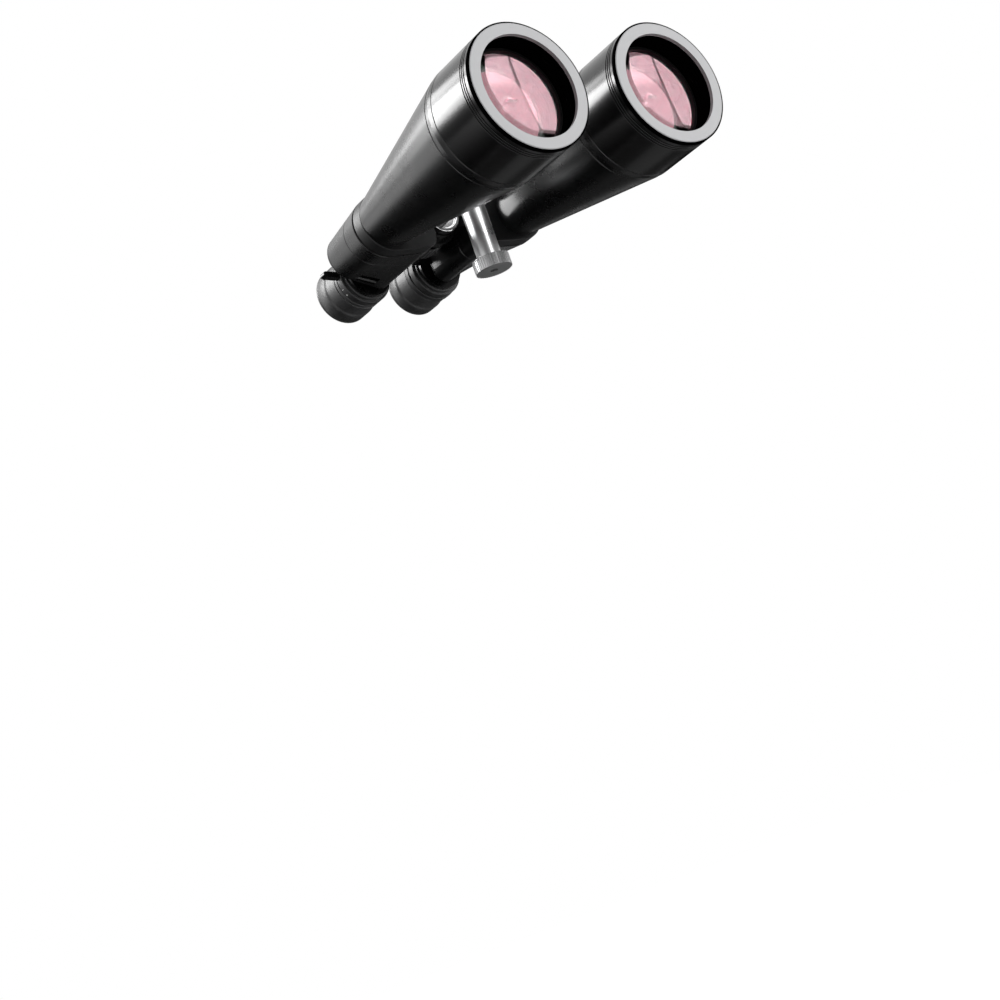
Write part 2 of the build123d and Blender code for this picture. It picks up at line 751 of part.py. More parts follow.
# Bright front cap of the hinge, dished inside its rim
with BuildPart() as hinge_cap:
    dish = cap_front + cap_recess
    turned(tube(cap_radius, 0, cap_front, cap_rear), hinge_axis)
    bored(cap_radius - cap_rim, cap_front - edge, dish, hinge_axis)
    bored(shaft_radius + fit, shaft_front - fit, cap_rear + edge, hinge_axis)
    bored(screw_radius + screw_clearance, cap_front, shaft_front, hinge_axis)
finish(hinge_cap.part, "hinge_cap")
with BuildPart() as hinge_nut:
    turned(tube(nut_radius, shaft_radius + fit, nut_front, nut_rear), hinge_axis)
finish(hinge_nut.part, "hinge_nut")

# Focus wheel, its rubber grip and the rod that it drives
grip_floor = wheel_radius - grip_depth
with BuildPart() as focus_wheel:
    outline = [(shaft_radius + running, wheel_front), (wheel_radius - edge, wheel_front)]
    outline += [(wheel_radius, wheel_front + edge), (wheel_radius, wheel_front + wheel_flange)]
    outline += [(grip_floor, wheel_front + wheel_flange), (grip_floor, wheel_rear - wheel_flange)]
    outline += [(wheel_radius, wheel_rear - wheel_flange), (wheel_radius, wheel_rear - edge)]
    outline += [(wheel_radius - edge, wheel_rear), (shaft_radius + running, wheel_rear)]
    turned(outline, hinge_axis)
finish(focus_wheel.part, "focus_wheel")
with BuildPart() as focus_grip:
    with BuildSketch(across(wheel_front + wheel_flange + fit)):
        with Locations((0, hinge_height)):
            ribbed(wheel_radius + grip_proud, grip_rib_pitch, grip_rib_pitch / 4)
            Circle(grip_floor + fit, mode=Mode.SUBTRACT)
    extrude(amount=-(wheel_length - 2 * wheel_flange - 2 * fit))
finish(focus_grip.part, "focus_grip")
with BuildPart() as focus_rod:
    rod_rear = knuckle_rear + hinge_gap
    rod_front = arm_front - rod_inside
    turned(tube(rod_radius, 0, rod_front, rod_rear + edge), hinge_axis)
    turned(tube(rod_head_radius, 0, rod_rear, rod_rear + rod_head_length), hinge_axis)
finish(focus_rod.part, "focus_rod")

# Tripod adapter: ribbed foot with the tripod socket, post, spacer and clamping screw
foot_hole = foot_height - foot_spigot_length
with BuildPart() as adapter_foot:
    with BuildSketch():
        ribbed(foot_radius, foot_rib_pitch, rib_depth)
    extrude(amount=foot_height)
    with BuildSketch():
        Circle(socket_radius)
    extrude(amount=socket_depth, mode=Mode.SUBTRACT)
    with BuildSketch(Plane.XY.offset(foot_hole)):
        Circle(foot_spigot_radius + fit)
    extrude(amount=foot_spigot_length, mode=Mode.SUBTRACT)
finish(adapter_foot.part, "adapter_foot")

screw_hole = screw_radius + screw_clearance
with BuildPart() as adapter_post:
    with BuildSketch(Plane.XY.offset(foot_height)):
        Circle(post_radius)
    extrude(amount=hinge_height + post_top - foot_height)
    fillet(adapter_post.edges().group_by(Axis.Z)[-1], radius=post_radius / 4)
    with BuildSketch(Plane.XY.offset(foot_hole)):
        Circle(foot_spigot_radius)
    extrude(amount=foot_spigot_length)
    bored(screw_hole, post_station - 2 * post_radius, post_station + 2 * post_radius, hinge_axis)
finish(adapter_post.part, "adapter_post")

with BuildPart() as adapter_spacer:
    turned(tube(spacer_radius, spacer_radius - spacer_wall, post_station, cap_front + cap_recess), hinge_axis)
    with BuildSketch(Plane.XY):
        Circle(post_radius + fit)
    extrude(amount=hinge_height + 2 * post_top, mode=Mode.SUBTRACT)
finish(adapter_spacer.part, "adapter_spacer")

with BuildPart() as adapter_screw:
    knob_rear = post_station - post_radius - knob_gap
    knob_front = knob_rear - knob_length
    with BuildSketch(across(knob_front)):
        with Locations((0, hinge_height)):
            ribbed(knob_radius, knob_rib_pitch, rib_depth)
    extrude(amount=-knob_length)
    outline = [(0, knob_front), (screw_radius, knob_front), (screw_radius, screw_end), (0, screw_end)]
    turned(outline, hinge_axis)
finish(adapter_screw.part, "adapter_screw")
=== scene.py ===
# %% [markdown]
# # Giant zoom binoculars on an adapter post
# The solids come from CAD, already in place and in metres. This lesson gives them their finishes,
# adds the small things that a lathe and a mould leave behind, and lights the result like a product
# picture: black barrels with long soft highlights and two ruby lenses in front of a white background.

# %% Load the solids
import json
import math

import bmesh
import bpy
from mathutils import Euler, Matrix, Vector


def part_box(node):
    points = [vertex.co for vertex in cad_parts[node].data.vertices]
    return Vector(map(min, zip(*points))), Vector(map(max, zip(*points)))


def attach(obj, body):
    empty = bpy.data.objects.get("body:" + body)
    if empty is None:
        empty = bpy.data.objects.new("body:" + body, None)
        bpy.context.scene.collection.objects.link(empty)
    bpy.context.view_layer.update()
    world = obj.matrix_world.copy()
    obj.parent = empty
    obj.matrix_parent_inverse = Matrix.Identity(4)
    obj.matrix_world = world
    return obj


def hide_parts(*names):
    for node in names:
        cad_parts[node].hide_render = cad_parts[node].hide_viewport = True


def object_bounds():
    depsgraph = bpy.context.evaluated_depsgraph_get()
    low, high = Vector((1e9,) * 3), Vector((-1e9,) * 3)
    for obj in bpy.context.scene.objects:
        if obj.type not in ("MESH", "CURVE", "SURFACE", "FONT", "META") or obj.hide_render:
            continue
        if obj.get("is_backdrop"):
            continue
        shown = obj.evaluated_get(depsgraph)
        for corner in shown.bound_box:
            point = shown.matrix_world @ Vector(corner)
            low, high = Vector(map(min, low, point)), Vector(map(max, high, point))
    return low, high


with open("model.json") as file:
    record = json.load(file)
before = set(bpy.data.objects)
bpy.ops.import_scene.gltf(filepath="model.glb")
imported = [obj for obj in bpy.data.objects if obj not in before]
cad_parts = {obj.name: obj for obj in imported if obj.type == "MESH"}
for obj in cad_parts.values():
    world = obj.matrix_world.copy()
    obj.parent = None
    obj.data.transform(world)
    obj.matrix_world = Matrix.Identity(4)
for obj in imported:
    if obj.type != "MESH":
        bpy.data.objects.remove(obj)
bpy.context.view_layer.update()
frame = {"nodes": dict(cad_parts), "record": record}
nodes = frame["nodes"]

# %% [markdown]
# ## The camera
# The picture was taken from below, in front of the right barrel. The place and the lens were worked
# out from the round edges of both front rings, so the numbers are set directly and nothing is aimed.

# %% Camera
CAMERA_PLACE = (-0.87938, -1.04862, -0.41514)
CAMERA_TURN = (100.5497, 18.6223, -34.3134)
CAMERA_LENS, CAMERA_SENSOR = 65.2367, 36.0

camera_data = bpy.data.cameras.new("camera")
camera_data.sensor_width = CAMERA_SENSOR
camera_data.lens = CAMERA_LENS
camera = bpy.data.objects.new("camera", camera_data)
camera.location = CAMERA_PLACE
camera.rotation_euler = Euler([math.radians(angle) for angle in CAMERA_TURN], "XYZ")
scene = bpy.context.scene
scene.collection.objects.link(camera)
scene.camera = camera
scene.view_settings.view_transform = "Standard"
print(f"camera {camera.location.length:.2f} m from the foot's socket")

# %% [markdown]
# ## A helper for node trees
# Materials and Geometry Nodes are both trees of nodes. One short helper makes a node, sets its
# properties, and fills each input with a number, or with a link where it is given another output.


# %% Node helper
def node(tree, kind, inputs=None, **properties):
    made = tree.nodes.new(kind)
    for name, value in properties.items():
        setattr(made, name, value)
    for socket, value in (inputs or {}).items():
        if isinstance(value, bpy.types.NodeSocket):
            tree.links.new(value, made.inputs[socket])
        else:
            made.inputs[socket].default_value = value
    return made


def combined(tree, *values, operation="ADD"):
    total = values[0]
    for value in values[1:]:
        total = node(tree, "ShaderNodeMath", {0: total, 1: value}, operation=operation).outputs[0]
    return total


def product(tree, *values):
    return combined(tree, *values, operation="MULTIPLY")


def remap(tree, value, low, high, to_low=0.0, to_high=1.0):
    limits = {"Value": value, "From Min": low, "From Max": high, "To Min": to_low, "To Max": to_high}
    return node(tree, "ShaderNodeMapRange", limits).outputs["Result"]


print("node helpers ready")

# %% [markdown]
# ## Background and floor
# The picture has a clean white background. The world is white where the camera, a gloss or a glass
# looks at it, and gives the object only a modest ambient light, so black paint stays black. The floor
# is far below, because the camera looks up. It is pale enough to keep a soft shadow, and turns white
# with distance, so that no horizon shows.

# %% World and floor
AMBIENT = 0.22
COOL_WHITE, WHITE = (0.95, 0.97, 1.0, 1.0), (1.0, 1.0, 1.0, 1.0)
FLOOR_GREY = (0.3, 0.3, 0.3, 1.0)
FLOOR_HEIGHT = -0.95
FLOOR_SIZE = 14.0
FLOOR_GLOW = 0.86
FADE_FROM, FADE_TO = 1.2, 3.0


def seen_directly(tree):
    path = node(tree, "ShaderNodeLightPath")
    ways = [path.outputs[f"Is {way} Ray"] for way in ("Camera", "Glossy", "Transmission")]
    return node(tree, "ShaderNodeClamp", {"Value": combined(tree, *ways)}).outputs[0]


world = bpy.data.worlds.new("studio")
world.use_nodes = True
scene.world = world
sky = world.node_tree
soft = node(sky, "ShaderNodeBackground", {"Color": COOL_WHITE, "Strength": AMBIENT})
white = node(sky, "ShaderNodeBackground", {"Color": WHITE, "Strength": 1.0})
both = node(sky, "ShaderNodeMixShader", {0: seen_directly(sky), 1: soft.outputs[0], 2: white.outputs[0]})
sky.links.new(both.outputs[0], sky.nodes["World Output"].inputs["Surface"])

paper = bpy.data.materials.new("floor_paper")
paper.use_nodes = True
tree = paper.node_tree
tree.nodes.remove(tree.nodes["Principled BSDF"])
matt = node(tree, "ShaderNodeBsdfDiffuse", {"Color": FLOOR_GREY})
spot = node(tree, "ShaderNodeTexCoord").outputs["Object"]
distance = node(tree, "ShaderNodeVectorMath", {0: spot}, operation="LENGTH").outputs["Value"]
paleness = remap(tree, distance, FADE_FROM, FADE_TO, FLOOR_GLOW, 1.0)
glow_level = product(tree, seen_directly(tree), paleness)
glow = node(tree, "ShaderNodeEmission", {"Strength": glow_level})
both = node(tree, "ShaderNodeAddShader", {0: matt.outputs[0], 1: glow.outputs[0]})
tree.links.new(both.outputs[0], tree.nodes["Material Output"].inputs["Surface"])

half = FLOOR_SIZE / 2
floor_mesh = bpy.data.meshes.new("floor")
floor_corners = [(x * half, y * half, FLOOR_HEIGHT) for x, y in ((-1, -1), (1, -1), (1, 1), (-1, 1))]
floor_mesh.from_pydata(floor_corners, [], [(0, 1, 2, 3)])
floor_mesh.materials.append(paper)
floor = bpy.data.objects.new("floor", floor_mesh)
scene.collection.objects.link(floor)
floor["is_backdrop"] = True
print(f"floor {FLOOR_SIZE} m square at {FLOOR_HEIGHT} m")

# %% [markdown]
# ## Lamps
# Directions are given as a compass angle round the object, 0 in front of the objectives and 90 on the
# left half's side, and a height above the horizon. Two tall panels stand upright in front: the lenses
# mirror them, and they light the front rings evenly. The middle one fades out on its far side and the
# other brightens softly towards its foot, so the glass shows no hard rectangle. The narrow gap between
# them draws one thin dark line across it. Two soft lights behind on the right give the highlights along
# the barrels, and a dimmer one below them reaches the eyecups. Two tiny ones hide between the barrels,
# for the neck and for the post. Each lamp is set by its brightness, so its power follows from its size.

# %% Lamps
MIDDLE = Vector((0.0, -0.04, 0.06))
# The watts of one square metre of lamp at a brightness of 1, which a mirror shows as white
LAMP_FACTOR = 4.0


def direction(compass, height):
    a, e = math.radians(compass), math.radians(height)
    return Vector((math.sin(a) * math.cos(e), -math.cos(a) * math.cos(e), math.sin(e)))


def faded(tree, share, start, end, level_start, level_end):
    limits = {"Value": share, "From Min": start, "From Max": end}
    limits |= {"To Min": level_start, "To Max": level_end}
    return node(tree, "ShaderNodeMapRange", limits, interpolation_type="SMOOTHSTEP").outputs["Result"]


def soft_lamp(name, compass, height, distance, width, tall, brightness, middle=MIDDLE, fades=()):
    data = bpy.data.lights.new(name, "AREA")
    data.shape = "RECTANGLE"
    data.size = width
    data.size_y = tall
    data.energy = LAMP_FACTOR * width * tall * brightness
    if fades:
        data.use_nodes = True
        tree = data.node_tree
        spot = node(tree, "ShaderNodeNewGeometry").outputs["Parametric"]
        across = node(tree, "ShaderNodeSeparateXYZ", {0: spot})
        levels = [faded(tree, across.outputs[axis], *fade) for axis, *fade in fades]
        level = product(tree, *levels)
        tree.links.new(level, tree.nodes["Emission"].inputs["Strength"])
    lamp = bpy.data.objects.new(name, data)
    lamp.location = middle + direction(compass, height) * distance
    lamp.rotation_euler = direction(compass, height).to_track_quat("Z", "Y").to_euler()
    lamp.visible_camera = False
    scene.collection.objects.link(lamp)
    print(f"{name} {data.energy:.0f} W")
    return lamp


PANEL_RISE = 1.07
PANEL_MIDDLE = MIDDLE + Vector((0.0, 0.0, PANEL_RISE))
# A fade: its axis on the panel, the two ends of the fade as shares of the panel, and the level at each
MIDDLE_FADE = [("X", 0.0, 0.5, 0.0, 1.0)]
SIDE_FADES = [("Y", 0.2, 0.32, 4.2, 1.0), ("X", 0.55, 0.8, 1.0, 1.2)]
# A lamp: its name, compass angle, height, distance, width, length and brightness
front_panels = [
    soft_lamp("front_panel_middle", -6.25, 0, 2.0, 1.76, 4.0, 2.2, PANEL_MIDDLE, MIDDLE_FADE),
    soft_lamp("front_panel_side", 44.75, 0, 2.0, 1.8, 4.0, 0.55, PANEL_MIDDLE, SIDE_FADES),
]
soft_lamp("barrel_light", -141, 27, 1.7, 0.5, 0.66, 16.0)
soft_lamp("barrel_fill", -158, 38, 1.7, 0.5, 0.55, 6.5)
soft_lamp("neck_light", -149, 4, 1.7, 0.45, 0.42, 1.6)
NECK_SIDE, POST_SIDE = Vector((0.0325, -0.02, 0.059)), Vector((0.0, 0.0, 0.045))
soft_lamp("neck_glint", 180, 0, 0.042, 0.016, 0.02, 4.5, NECK_SIDE)
soft_lamp("post_glint", -112, 12, 0.028, 0.026, 0.026, 2.2, POST_SIDE)

# %% [markdown]
# ## Dark cards
# A studio hangs black cards round a glossy black object, so that its shaded flanks mirror something dark
# and its outline stays crisp. The cards are curved strips that only reflections see: they hide nothing
# from the camera and cast no shadow. Those over the floor are grey, because a floor is never quite black,
# and one paler strip hangs before the others and leaves a faint sheen low on a flank.

# %% Dark cards
CARD_DISTANCE = 1.2
STRIP_DISTANCE = CARD_DISTANCE - 0.05
CARD_STEPS = 12
BLACK, DARK_GREY, GREY, MID_GREY, PALE_GREY = 0.01, 0.06, 0.08, 0.3, 0.35


def dark_card(name, compass, heights, shade, distance=CARD_DISTANCE):
    black = bpy.data.materials.new(name)
    black.use_nodes = True
    shader = black.node_tree.nodes["Principled BSDF"]
    shader.inputs["Base Color"].default_value = (shade, shade, shade, 1.0)
    shader.inputs["Specular IOR Level"].default_value = 0.0
    points = []
    for step in range(CARD_STEPS + 1):
        turn = compass[0] + (compass[1] - compass[0]) * step / CARD_STEPS
        points += [MIDDLE + direction(turn, height) * distance for height in heights]
    faces = [(2 * i, 2 * i + 2, 2 * i + 3, 2 * i + 1) for i in range(CARD_STEPS)]
    mesh = bpy.data.meshes.new(name)
    mesh.from_pydata(points, [], faces)
    mesh.materials.append(black)
    card = bpy.data.objects.new(name, mesh)
    card.visible_camera = False
    card.visible_shadow = False
    scene.collection.objects.link(card)
    card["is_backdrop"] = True
    print(f"{name} {len(faces)} faces")


# A card: its name, the compass angles and the heights that it spans, and its shade
dark_card("card_low", (170, 232), (-45, -6), BLACK)
dark_card("card_left", (214, 250), (-6, 12), BLACK)
dark_card("card_low_right", (112, 170), (-37, -6), DARK_GREY)
dark_card("card_pale_right", (126, 144), (-14, -3), PALE_GREY, STRIP_DISTANCE)
dark_card("card_behind", (112, 170), (-6, 26), BLACK)
dark_card("card_floor_right", (112, 170), (-88, -37), MID_GREY)
dark_card("card_floor", (170, 472), (-88, -45), GREY)

# %% [markdown]
# ## Effects that several finishes share
# Edge rub, settled dust, fine grain and the lines that a lathe leaves are each built once as a node
# group. A finish places the group and gives it its own sizes. The groups put out masks and heights
# only; the shader itself stays in the material.

# %% Shared effects
VECTOR, NUMBER = "NodeSocketVector", "NodeSocketFloat"
# The cosine between the rounded and the true normal, where rubbing starts and where it is full
RUB_START, RUB_FULL = 0.99, 0.8
# The scale of the wide pattern as a share of the fine one's
CLOUD_SHARE = 0.02


def effect(name, inputs, outputs):
    tree = bpy.data.node_groups.new(name, "ShaderNodeTree")
    for label, (kind, default) in inputs.items():
        socket = tree.interface.new_socket(label, in_out="INPUT", socket_type=kind)
        if default is not None:
            socket.default_value = default
    for label in outputs:
        tree.interface.new_socket(label, in_out="OUTPUT", socket_type=NUMBER)
    given = tree.nodes.new("NodeGroupInput").outputs
    wanted = tree.nodes.new("NodeGroupOutput").inputs
    return tree, given, wanted


def noise(tree, vector, scale, detail=2.0):
    sizes = {"Vector": vector, "Scale": scale, "Detail": detail}
    return node(tree, "ShaderNodeTexNoise", sizes).outputs[0]


edge_rub, given, wanted = effect(
    "edge rub", {"Vector": (VECTOR, None), "Width": (NUMBER, 0.0006)}, ["Mask"]
)
rounded = node(edge_rub, "ShaderNodeBevel", {"Radius": given["Width"]}, samples=4)
true_normal = node(edge_rub, "ShaderNodeNewGeometry")
turned_by = node(
    edge_rub, "ShaderNodeVectorMath", {0: rounded.outputs[0], 1: true_normal.outputs["Normal"]},
    operation="DOT_PRODUCT",
)
bare = remap(edge_rub, turned_by.outputs["Value"], RUB_START, RUB_FULL)
patches = noise(edge_rub, given["Vector"], scale=420.0, detail=4.0)
patchy = remap(edge_rub, patches, low=0.4, high=0.65)
edge_rub.links.new(product(edge_rub, bare, patchy), wanted["Mask"])

dust, given, wanted = effect("settled dust", {"Vector": (VECTOR, None)}, ["Mask"])
facing = node(dust, "ShaderNodeSeparateXYZ", {0: node(dust, "ShaderNodeNewGeometry").outputs["Normal"]})
upward = remap(dust, facing.outputs["Z"], low=0.1, high=0.95)
specks = remap(dust, noise(dust, given["Vector"], scale=1500.0, detail=5.0), low=0.56, high=0.72)
drifts = remap(dust, noise(dust, given["Vector"], scale=60.0, detail=3.0), low=0.35, high=0.7)
dust.links.new(product(dust, upward, specks, drifts), wanted["Mask"])

grain, given, wanted = effect(
    "grain", {"Vector": (VECTOR, None), "Scale": (NUMBER, 2000.0)}, ["Fine", "Cloud"]
)
grain.links.new(noise(grain, given["Vector"], given["Scale"], detail=3.0), wanted["Fine"])
wide = product(grain, given["Scale"], CLOUD_SHARE)
grain.links.new(noise(grain, given["Vector"], wide, detail=4.0), wanted["Cloud"])

lathe, given, wanted = effect(
    "lathe lines", {"Vector": (VECTOR, None), "Pitch": (NUMBER, 0.0003)}, ["Height", "Shade"]
)
place = node(lathe, "ShaderNodeSeparateXYZ", {0: given["Vector"]})
across = node(lathe, "ShaderNodeCombineXYZ", {"X": place.outputs["X"], "Z": place.outputs["Z"]})
radius = node(lathe, "ShaderNodeVectorMath", {0: across.outputs[0]}, operation="LENGTH").outputs["Value"]
lines = []
for along in (radius, place.outputs["Y"]):
    count = combined(lathe, along, given["Pitch"], operation="DIVIDE")
    ridges = node(lathe, "ShaderNodeTexNoise", {"W": count, "Scale": 1.0}, noise_dimensions="1D")
    lines.append(ridges.outputs[0])
lathe.links.new(combined(lathe, *lines), wanted["Height"])
lathe.links.new(remap(lathe, combined(lathe, *lines), low=0.7, high=1.3), wanted["Shade"])
print("4 effects")

# %% [markdown]
# ## Finishes
# Every finish starts from the same few lines: a Principled shader, the object's own coordinates, and a
# way to place an effect. The two halves mirror each other, so the coordinates of turned pieces take the
# absolute value of X and one lathe centre serves both sides.

# %% Start of a finish
finishes = {}
# Most of a noise lies in this range
NOISE_SPREAD = (0.3, 0.7)
# A Mix node has a set of sockets for each kind of value; these are its two colours and their mixture
MIX_UNDER, MIX_OVER, MIX_RESULT = 6, 7, 2


def start_finish(name, **sockets):
    made = bpy.data.materials.new(name)
    made.use_nodes = True
    tree = made.node_tree
    shader = tree.nodes["Principled BSDF"]
    for label, value in sockets.items():
        shader.inputs[label.replace("_", " ")].default_value = value
    finishes[name] = made
    return tree, shader, node(tree, "ShaderNodeTexCoord").outputs["Object"]


def place_effect(tree, group, **inputs):
    made = tree.nodes.new("ShaderNodeGroup")
    made.node_tree = group
    for label, value in inputs.items():
        if isinstance(value, bpy.types.NodeSocket):
            tree.links.new(value, made.inputs[label])
        else:
            made.inputs[label].default_value = value
    return made.outputs


def tint(tree, mask, under, over, share=None):
    if share:
        mask = product(tree, mask, share)
    mixed = node(tree, "ShaderNodeMix", {"Factor": mask}, data_type="RGBA")
    for socket, colour in ((mixed.inputs[MIX_UNDER], under), (mixed.inputs[MIX_OVER], over)):
        if isinstance(colour, bpy.types.NodeSocket):
            tree.links.new(colour, socket)
        else:
            socket.default_value = (*colour, 1.0)
    return mixed.outputs[MIX_RESULT]


def feed(tree, shader, **sources):
    for label, source in sources.items():
        tree.links.new(source, shader.inputs[label.replace("_", " ")])


def roughness(tree, pattern, smooth, dull):
    return remap(tree, pattern, *NOISE_SPREAD, smooth, dull)


def bump(tree, height, strength, depth):
    sizes = {"Height": height, "Strength": strength, "Distance": depth}
    return node(tree, "ShaderNodeBump", sizes).outputs[0]


def lathe_centre(tree, coordinates, x, z):
    mirrored = node(tree, "ShaderNodeVectorMath", {0: coordinates}, operation="ABSOLUTE").outputs[0]
    return node(tree, "ShaderNodeMapping", {"Vector": mirrored, "Location": (-x, 0.0, -z)}).outputs[0]


print("finish helpers ready")

# %% [markdown]
# ### Satin black enamel
# The barrels and housings are cast alloy with a baked satin enamel. It is almost black, with a fine
# orange-peel, slightly greyer where edges are handled, and it takes dust on top. The front plates of the
# housings are a little duller. The objective cells have the same enamel outside and a flat black inside
# the hood. The same flat black in the grooves and on the front rim is painted shade, dark like a shaded
# recess. A second material would need the faces sorted. Instead, the gloss is a clear coat that a mask
# takes away wherever the surface lies deeper than the skin of the cell, or in front of its rim.

# %% Black enamel
OBJECTIVE_X, OBJECTIVE_Z = 0.0664, 0.061
CELL_SKIN, CELL_RIM, CELL_BLUR = 0.0498, -0.1774, 0.0001
ENAMEL_DEEP, ENAMEL_PALE = (0.003, 0.003, 0.0033), (0.0058, 0.0058, 0.0062)
# Flat black for the inside of the hood, and painted shade in the grooves and on the front rim
ENAMEL_WORN, FLAT_BLACK_AND_SHADE = (0.11, 0.11, 0.115), (0.002, 0.002, 0.0022)
DUST_GREY = (0.2, 0.19, 0.18)


def enamel_paint(tree, spot, smooth=0.26, dull=0.3):
    peel = place_effect(tree, grain, Vector=spot, Scale=2600.0)
    rub = place_effect(tree, edge_rub, Vector=spot, Width=0.0005)["Mask"]
    powder = place_effect(tree, dust, Vector=spot)["Mask"]
    paint = tint(tree, peel["Cloud"], ENAMEL_DEEP, ENAMEL_PALE)
    paint = tint(tree, rub, paint, ENAMEL_WORN, share=0.3)
    paint = tint(tree, powder, paint, DUST_GREY, share=0.06)
    gloss = roughness(tree, peel["Cloud"], smooth, dull)
    return paint, gloss, bump(tree, peel["Fine"], strength=0.12, depth=0.00005)


tree, shader, spot = start_finish("black_enamel", Specular_IOR_Level=0.45)
paint, gloss, peel = enamel_paint(tree, spot)
feed(tree, shader, Base_Color=paint, Roughness=gloss, Normal=peel)

tree, shader, spot = start_finish("plate_enamel", Specular_IOR_Level=0.4)
paint, gloss, peel = enamel_paint(tree, spot, smooth=0.44, dull=0.5)
feed(tree, shader, Base_Color=paint, Roughness=gloss, Normal=peel)

tree, shader, spot = start_finish("cell_enamel", Specular_IOR_Level=0.0, Coat_IOR=1.47, Coat_Roughness=0.22)
paint, gloss, peel = enamel_paint(tree, spot)
centred = lathe_centre(tree, spot, OBJECTIVE_X, OBJECTIVE_Z)
flattened = {0: centred, 1: (1.0, 0.0, 1.0)}
level = node(tree, "ShaderNodeVectorMath", flattened, operation="MULTIPLY").outputs[0]
radius = node(tree, "ShaderNodeVectorMath", {0: level}, operation="LENGTH").outputs["Value"]
along = node(tree, "ShaderNodeSeparateXYZ", {0: spot}).outputs["Y"]
# Outside the skin and behind the rim the coat and the enamel stay; elsewhere the paint is flat black: the
# hood's own finish, and painted shade in the grooves and on the front rim
skin = remap(tree, radius, CELL_SKIN - CELL_BLUR, CELL_SKIN + CELL_BLUR)
behind_rim = remap(tree, along, CELL_RIM - CELL_BLUR, CELL_RIM + CELL_BLUR)
glossy = product(tree, skin, behind_rim)
feed(
    tree, shader, Base_Color=tint(tree, glossy, FLAT_BLACK_AND_SHADE, paint), Roughness=gloss,
    Coat_Weight=glossy, Normal=peel,
)
print("black_enamel, plate_enamel and cell_enamel")

# %% [markdown]
# ### Grey anodised rings
# The front rings are turned alloy, anodised a flat satin grey. Their face keeps faint concentric lines. A
# plain grey would do from afar. The lathe effect is centred on the ring's own axis, so that its lines stay
# round from every side, and worn edges show the metal.

# %% Grey anodised
RING_DULL, RING_GREY, RING_WORN = (0.36, 0.36, 0.365), (0.42, 0.42, 0.425), (0.72, 0.72, 0.73)

tree, shader, spot = start_finish("grey_anodised", Specular_IOR_Level=0.35)
centred = lathe_centre(tree, spot, OBJECTIVE_X, OBJECTIVE_Z)
turning = place_effect(tree, lathe, Vector=centred, Pitch=0.00035)
satin = place_effect(tree, grain, Vector=spot, Scale=3200.0)
rub = place_effect(tree, edge_rub, Vector=spot, Width=0.0005)["Mask"]
metal = tint(tree, turning["Shade"], RING_DULL, RING_GREY)
metal = tint(tree, rub, metal, RING_WORN, share=0.6)
height = combined(tree, turning["Height"], satin["Fine"])
feed(
    tree, shader, Base_Color=metal, Roughness=roughness(tree, satin["Cloud"], smooth=0.42, dull=0.5),
    Normal=bump(tree, height, strength=0.05, depth=0.00003),
)
print("grey_anodised")

# %% [markdown]
# ### Matt black inside
# Inside the optics every surface is blasted black, so that stray light dies there. A pure black would look
# like a hole, so this one is a very dark, rough grey with a grain.

# %% Inside black
BLAST_DEEP, BLAST_PALE = (0.006, 0.006, 0.0065), (0.016, 0.016, 0.017)

tree, shader, spot = start_finish("inside_black", Specular_IOR_Level=0.25)
blast = place_effect(tree, grain, Vector=spot, Scale=2400.0)
feed(
    tree, shader, Base_Color=tint(tree, blast["Fine"], BLAST_DEEP, BLAST_PALE),
    Roughness=roughness(tree, blast["Cloud"], smooth=0.55, dull=0.7),
    Normal=bump(tree, blast["Fine"], strength=0.3, depth=0.0001),
)
print("inside_black")

# %% [markdown]
# ### Coated and clear glass
# The outer lenses carry a ruby coating that mirrors pink. The inner lenses have a faint green one. Where
# both mirror the same lamp, the colours add up to a warm cream. A coating could be a film of its own; here
# the tint of the glass's mirror image and a little silvering stand for it, which needs no second surface.

# %% Glass
WIPE_SPREAD, WIPE_HAZE = (0.35, 0.75), 0.05
RUBY, LEAF = (1.0, 0.05, 0.2), (0.6, 1.0, 0.8)


def lens_glass(name, mirror, index, silvering, low, high):
    tree, shader, spot = start_finish(
        name, Transmission_Weight=1.0, IOR=index, Specular_Tint=(*mirror, 1.0), Metallic=silvering
    )
    wipe = place_effect(tree, grain, Vector=spot, Scale=900.0)
    feed(
        tree, shader, Roughness=remap(tree, wipe["Cloud"], *WIPE_SPREAD, to_high=WIPE_HAZE),
        Base_Color=tint(tree, wipe["Cloud"], low, high),
    )
    print(name)


lens_glass("coated_glass", RUBY, index=1.9, silvering=0.09, low=(0.98, 0.74, 0.8), high=(1.0, 0.78, 0.84))
lens_glass("clear_glass", LEAF, index=1.7, silvering=0.12, low=(0.8, 0.98, 0.9), high=(0.84, 1.0, 0.92))

# %% [markdown]
# ### Moulded rubber
# Eyecups and the focus grip are moulded rubber: black, softly shining, with a fine pebble. Handling
# greys its edges and dust stays on top, so both effects are mixed in before the pebble is added as a bump.

# %% Black rubber
RUBBER_DEEP, RUBBER_PALE = (0.013, 0.013, 0.0135), (0.02, 0.02, 0.0205)
RUBBER_WORN = (0.07, 0.07, 0.071)

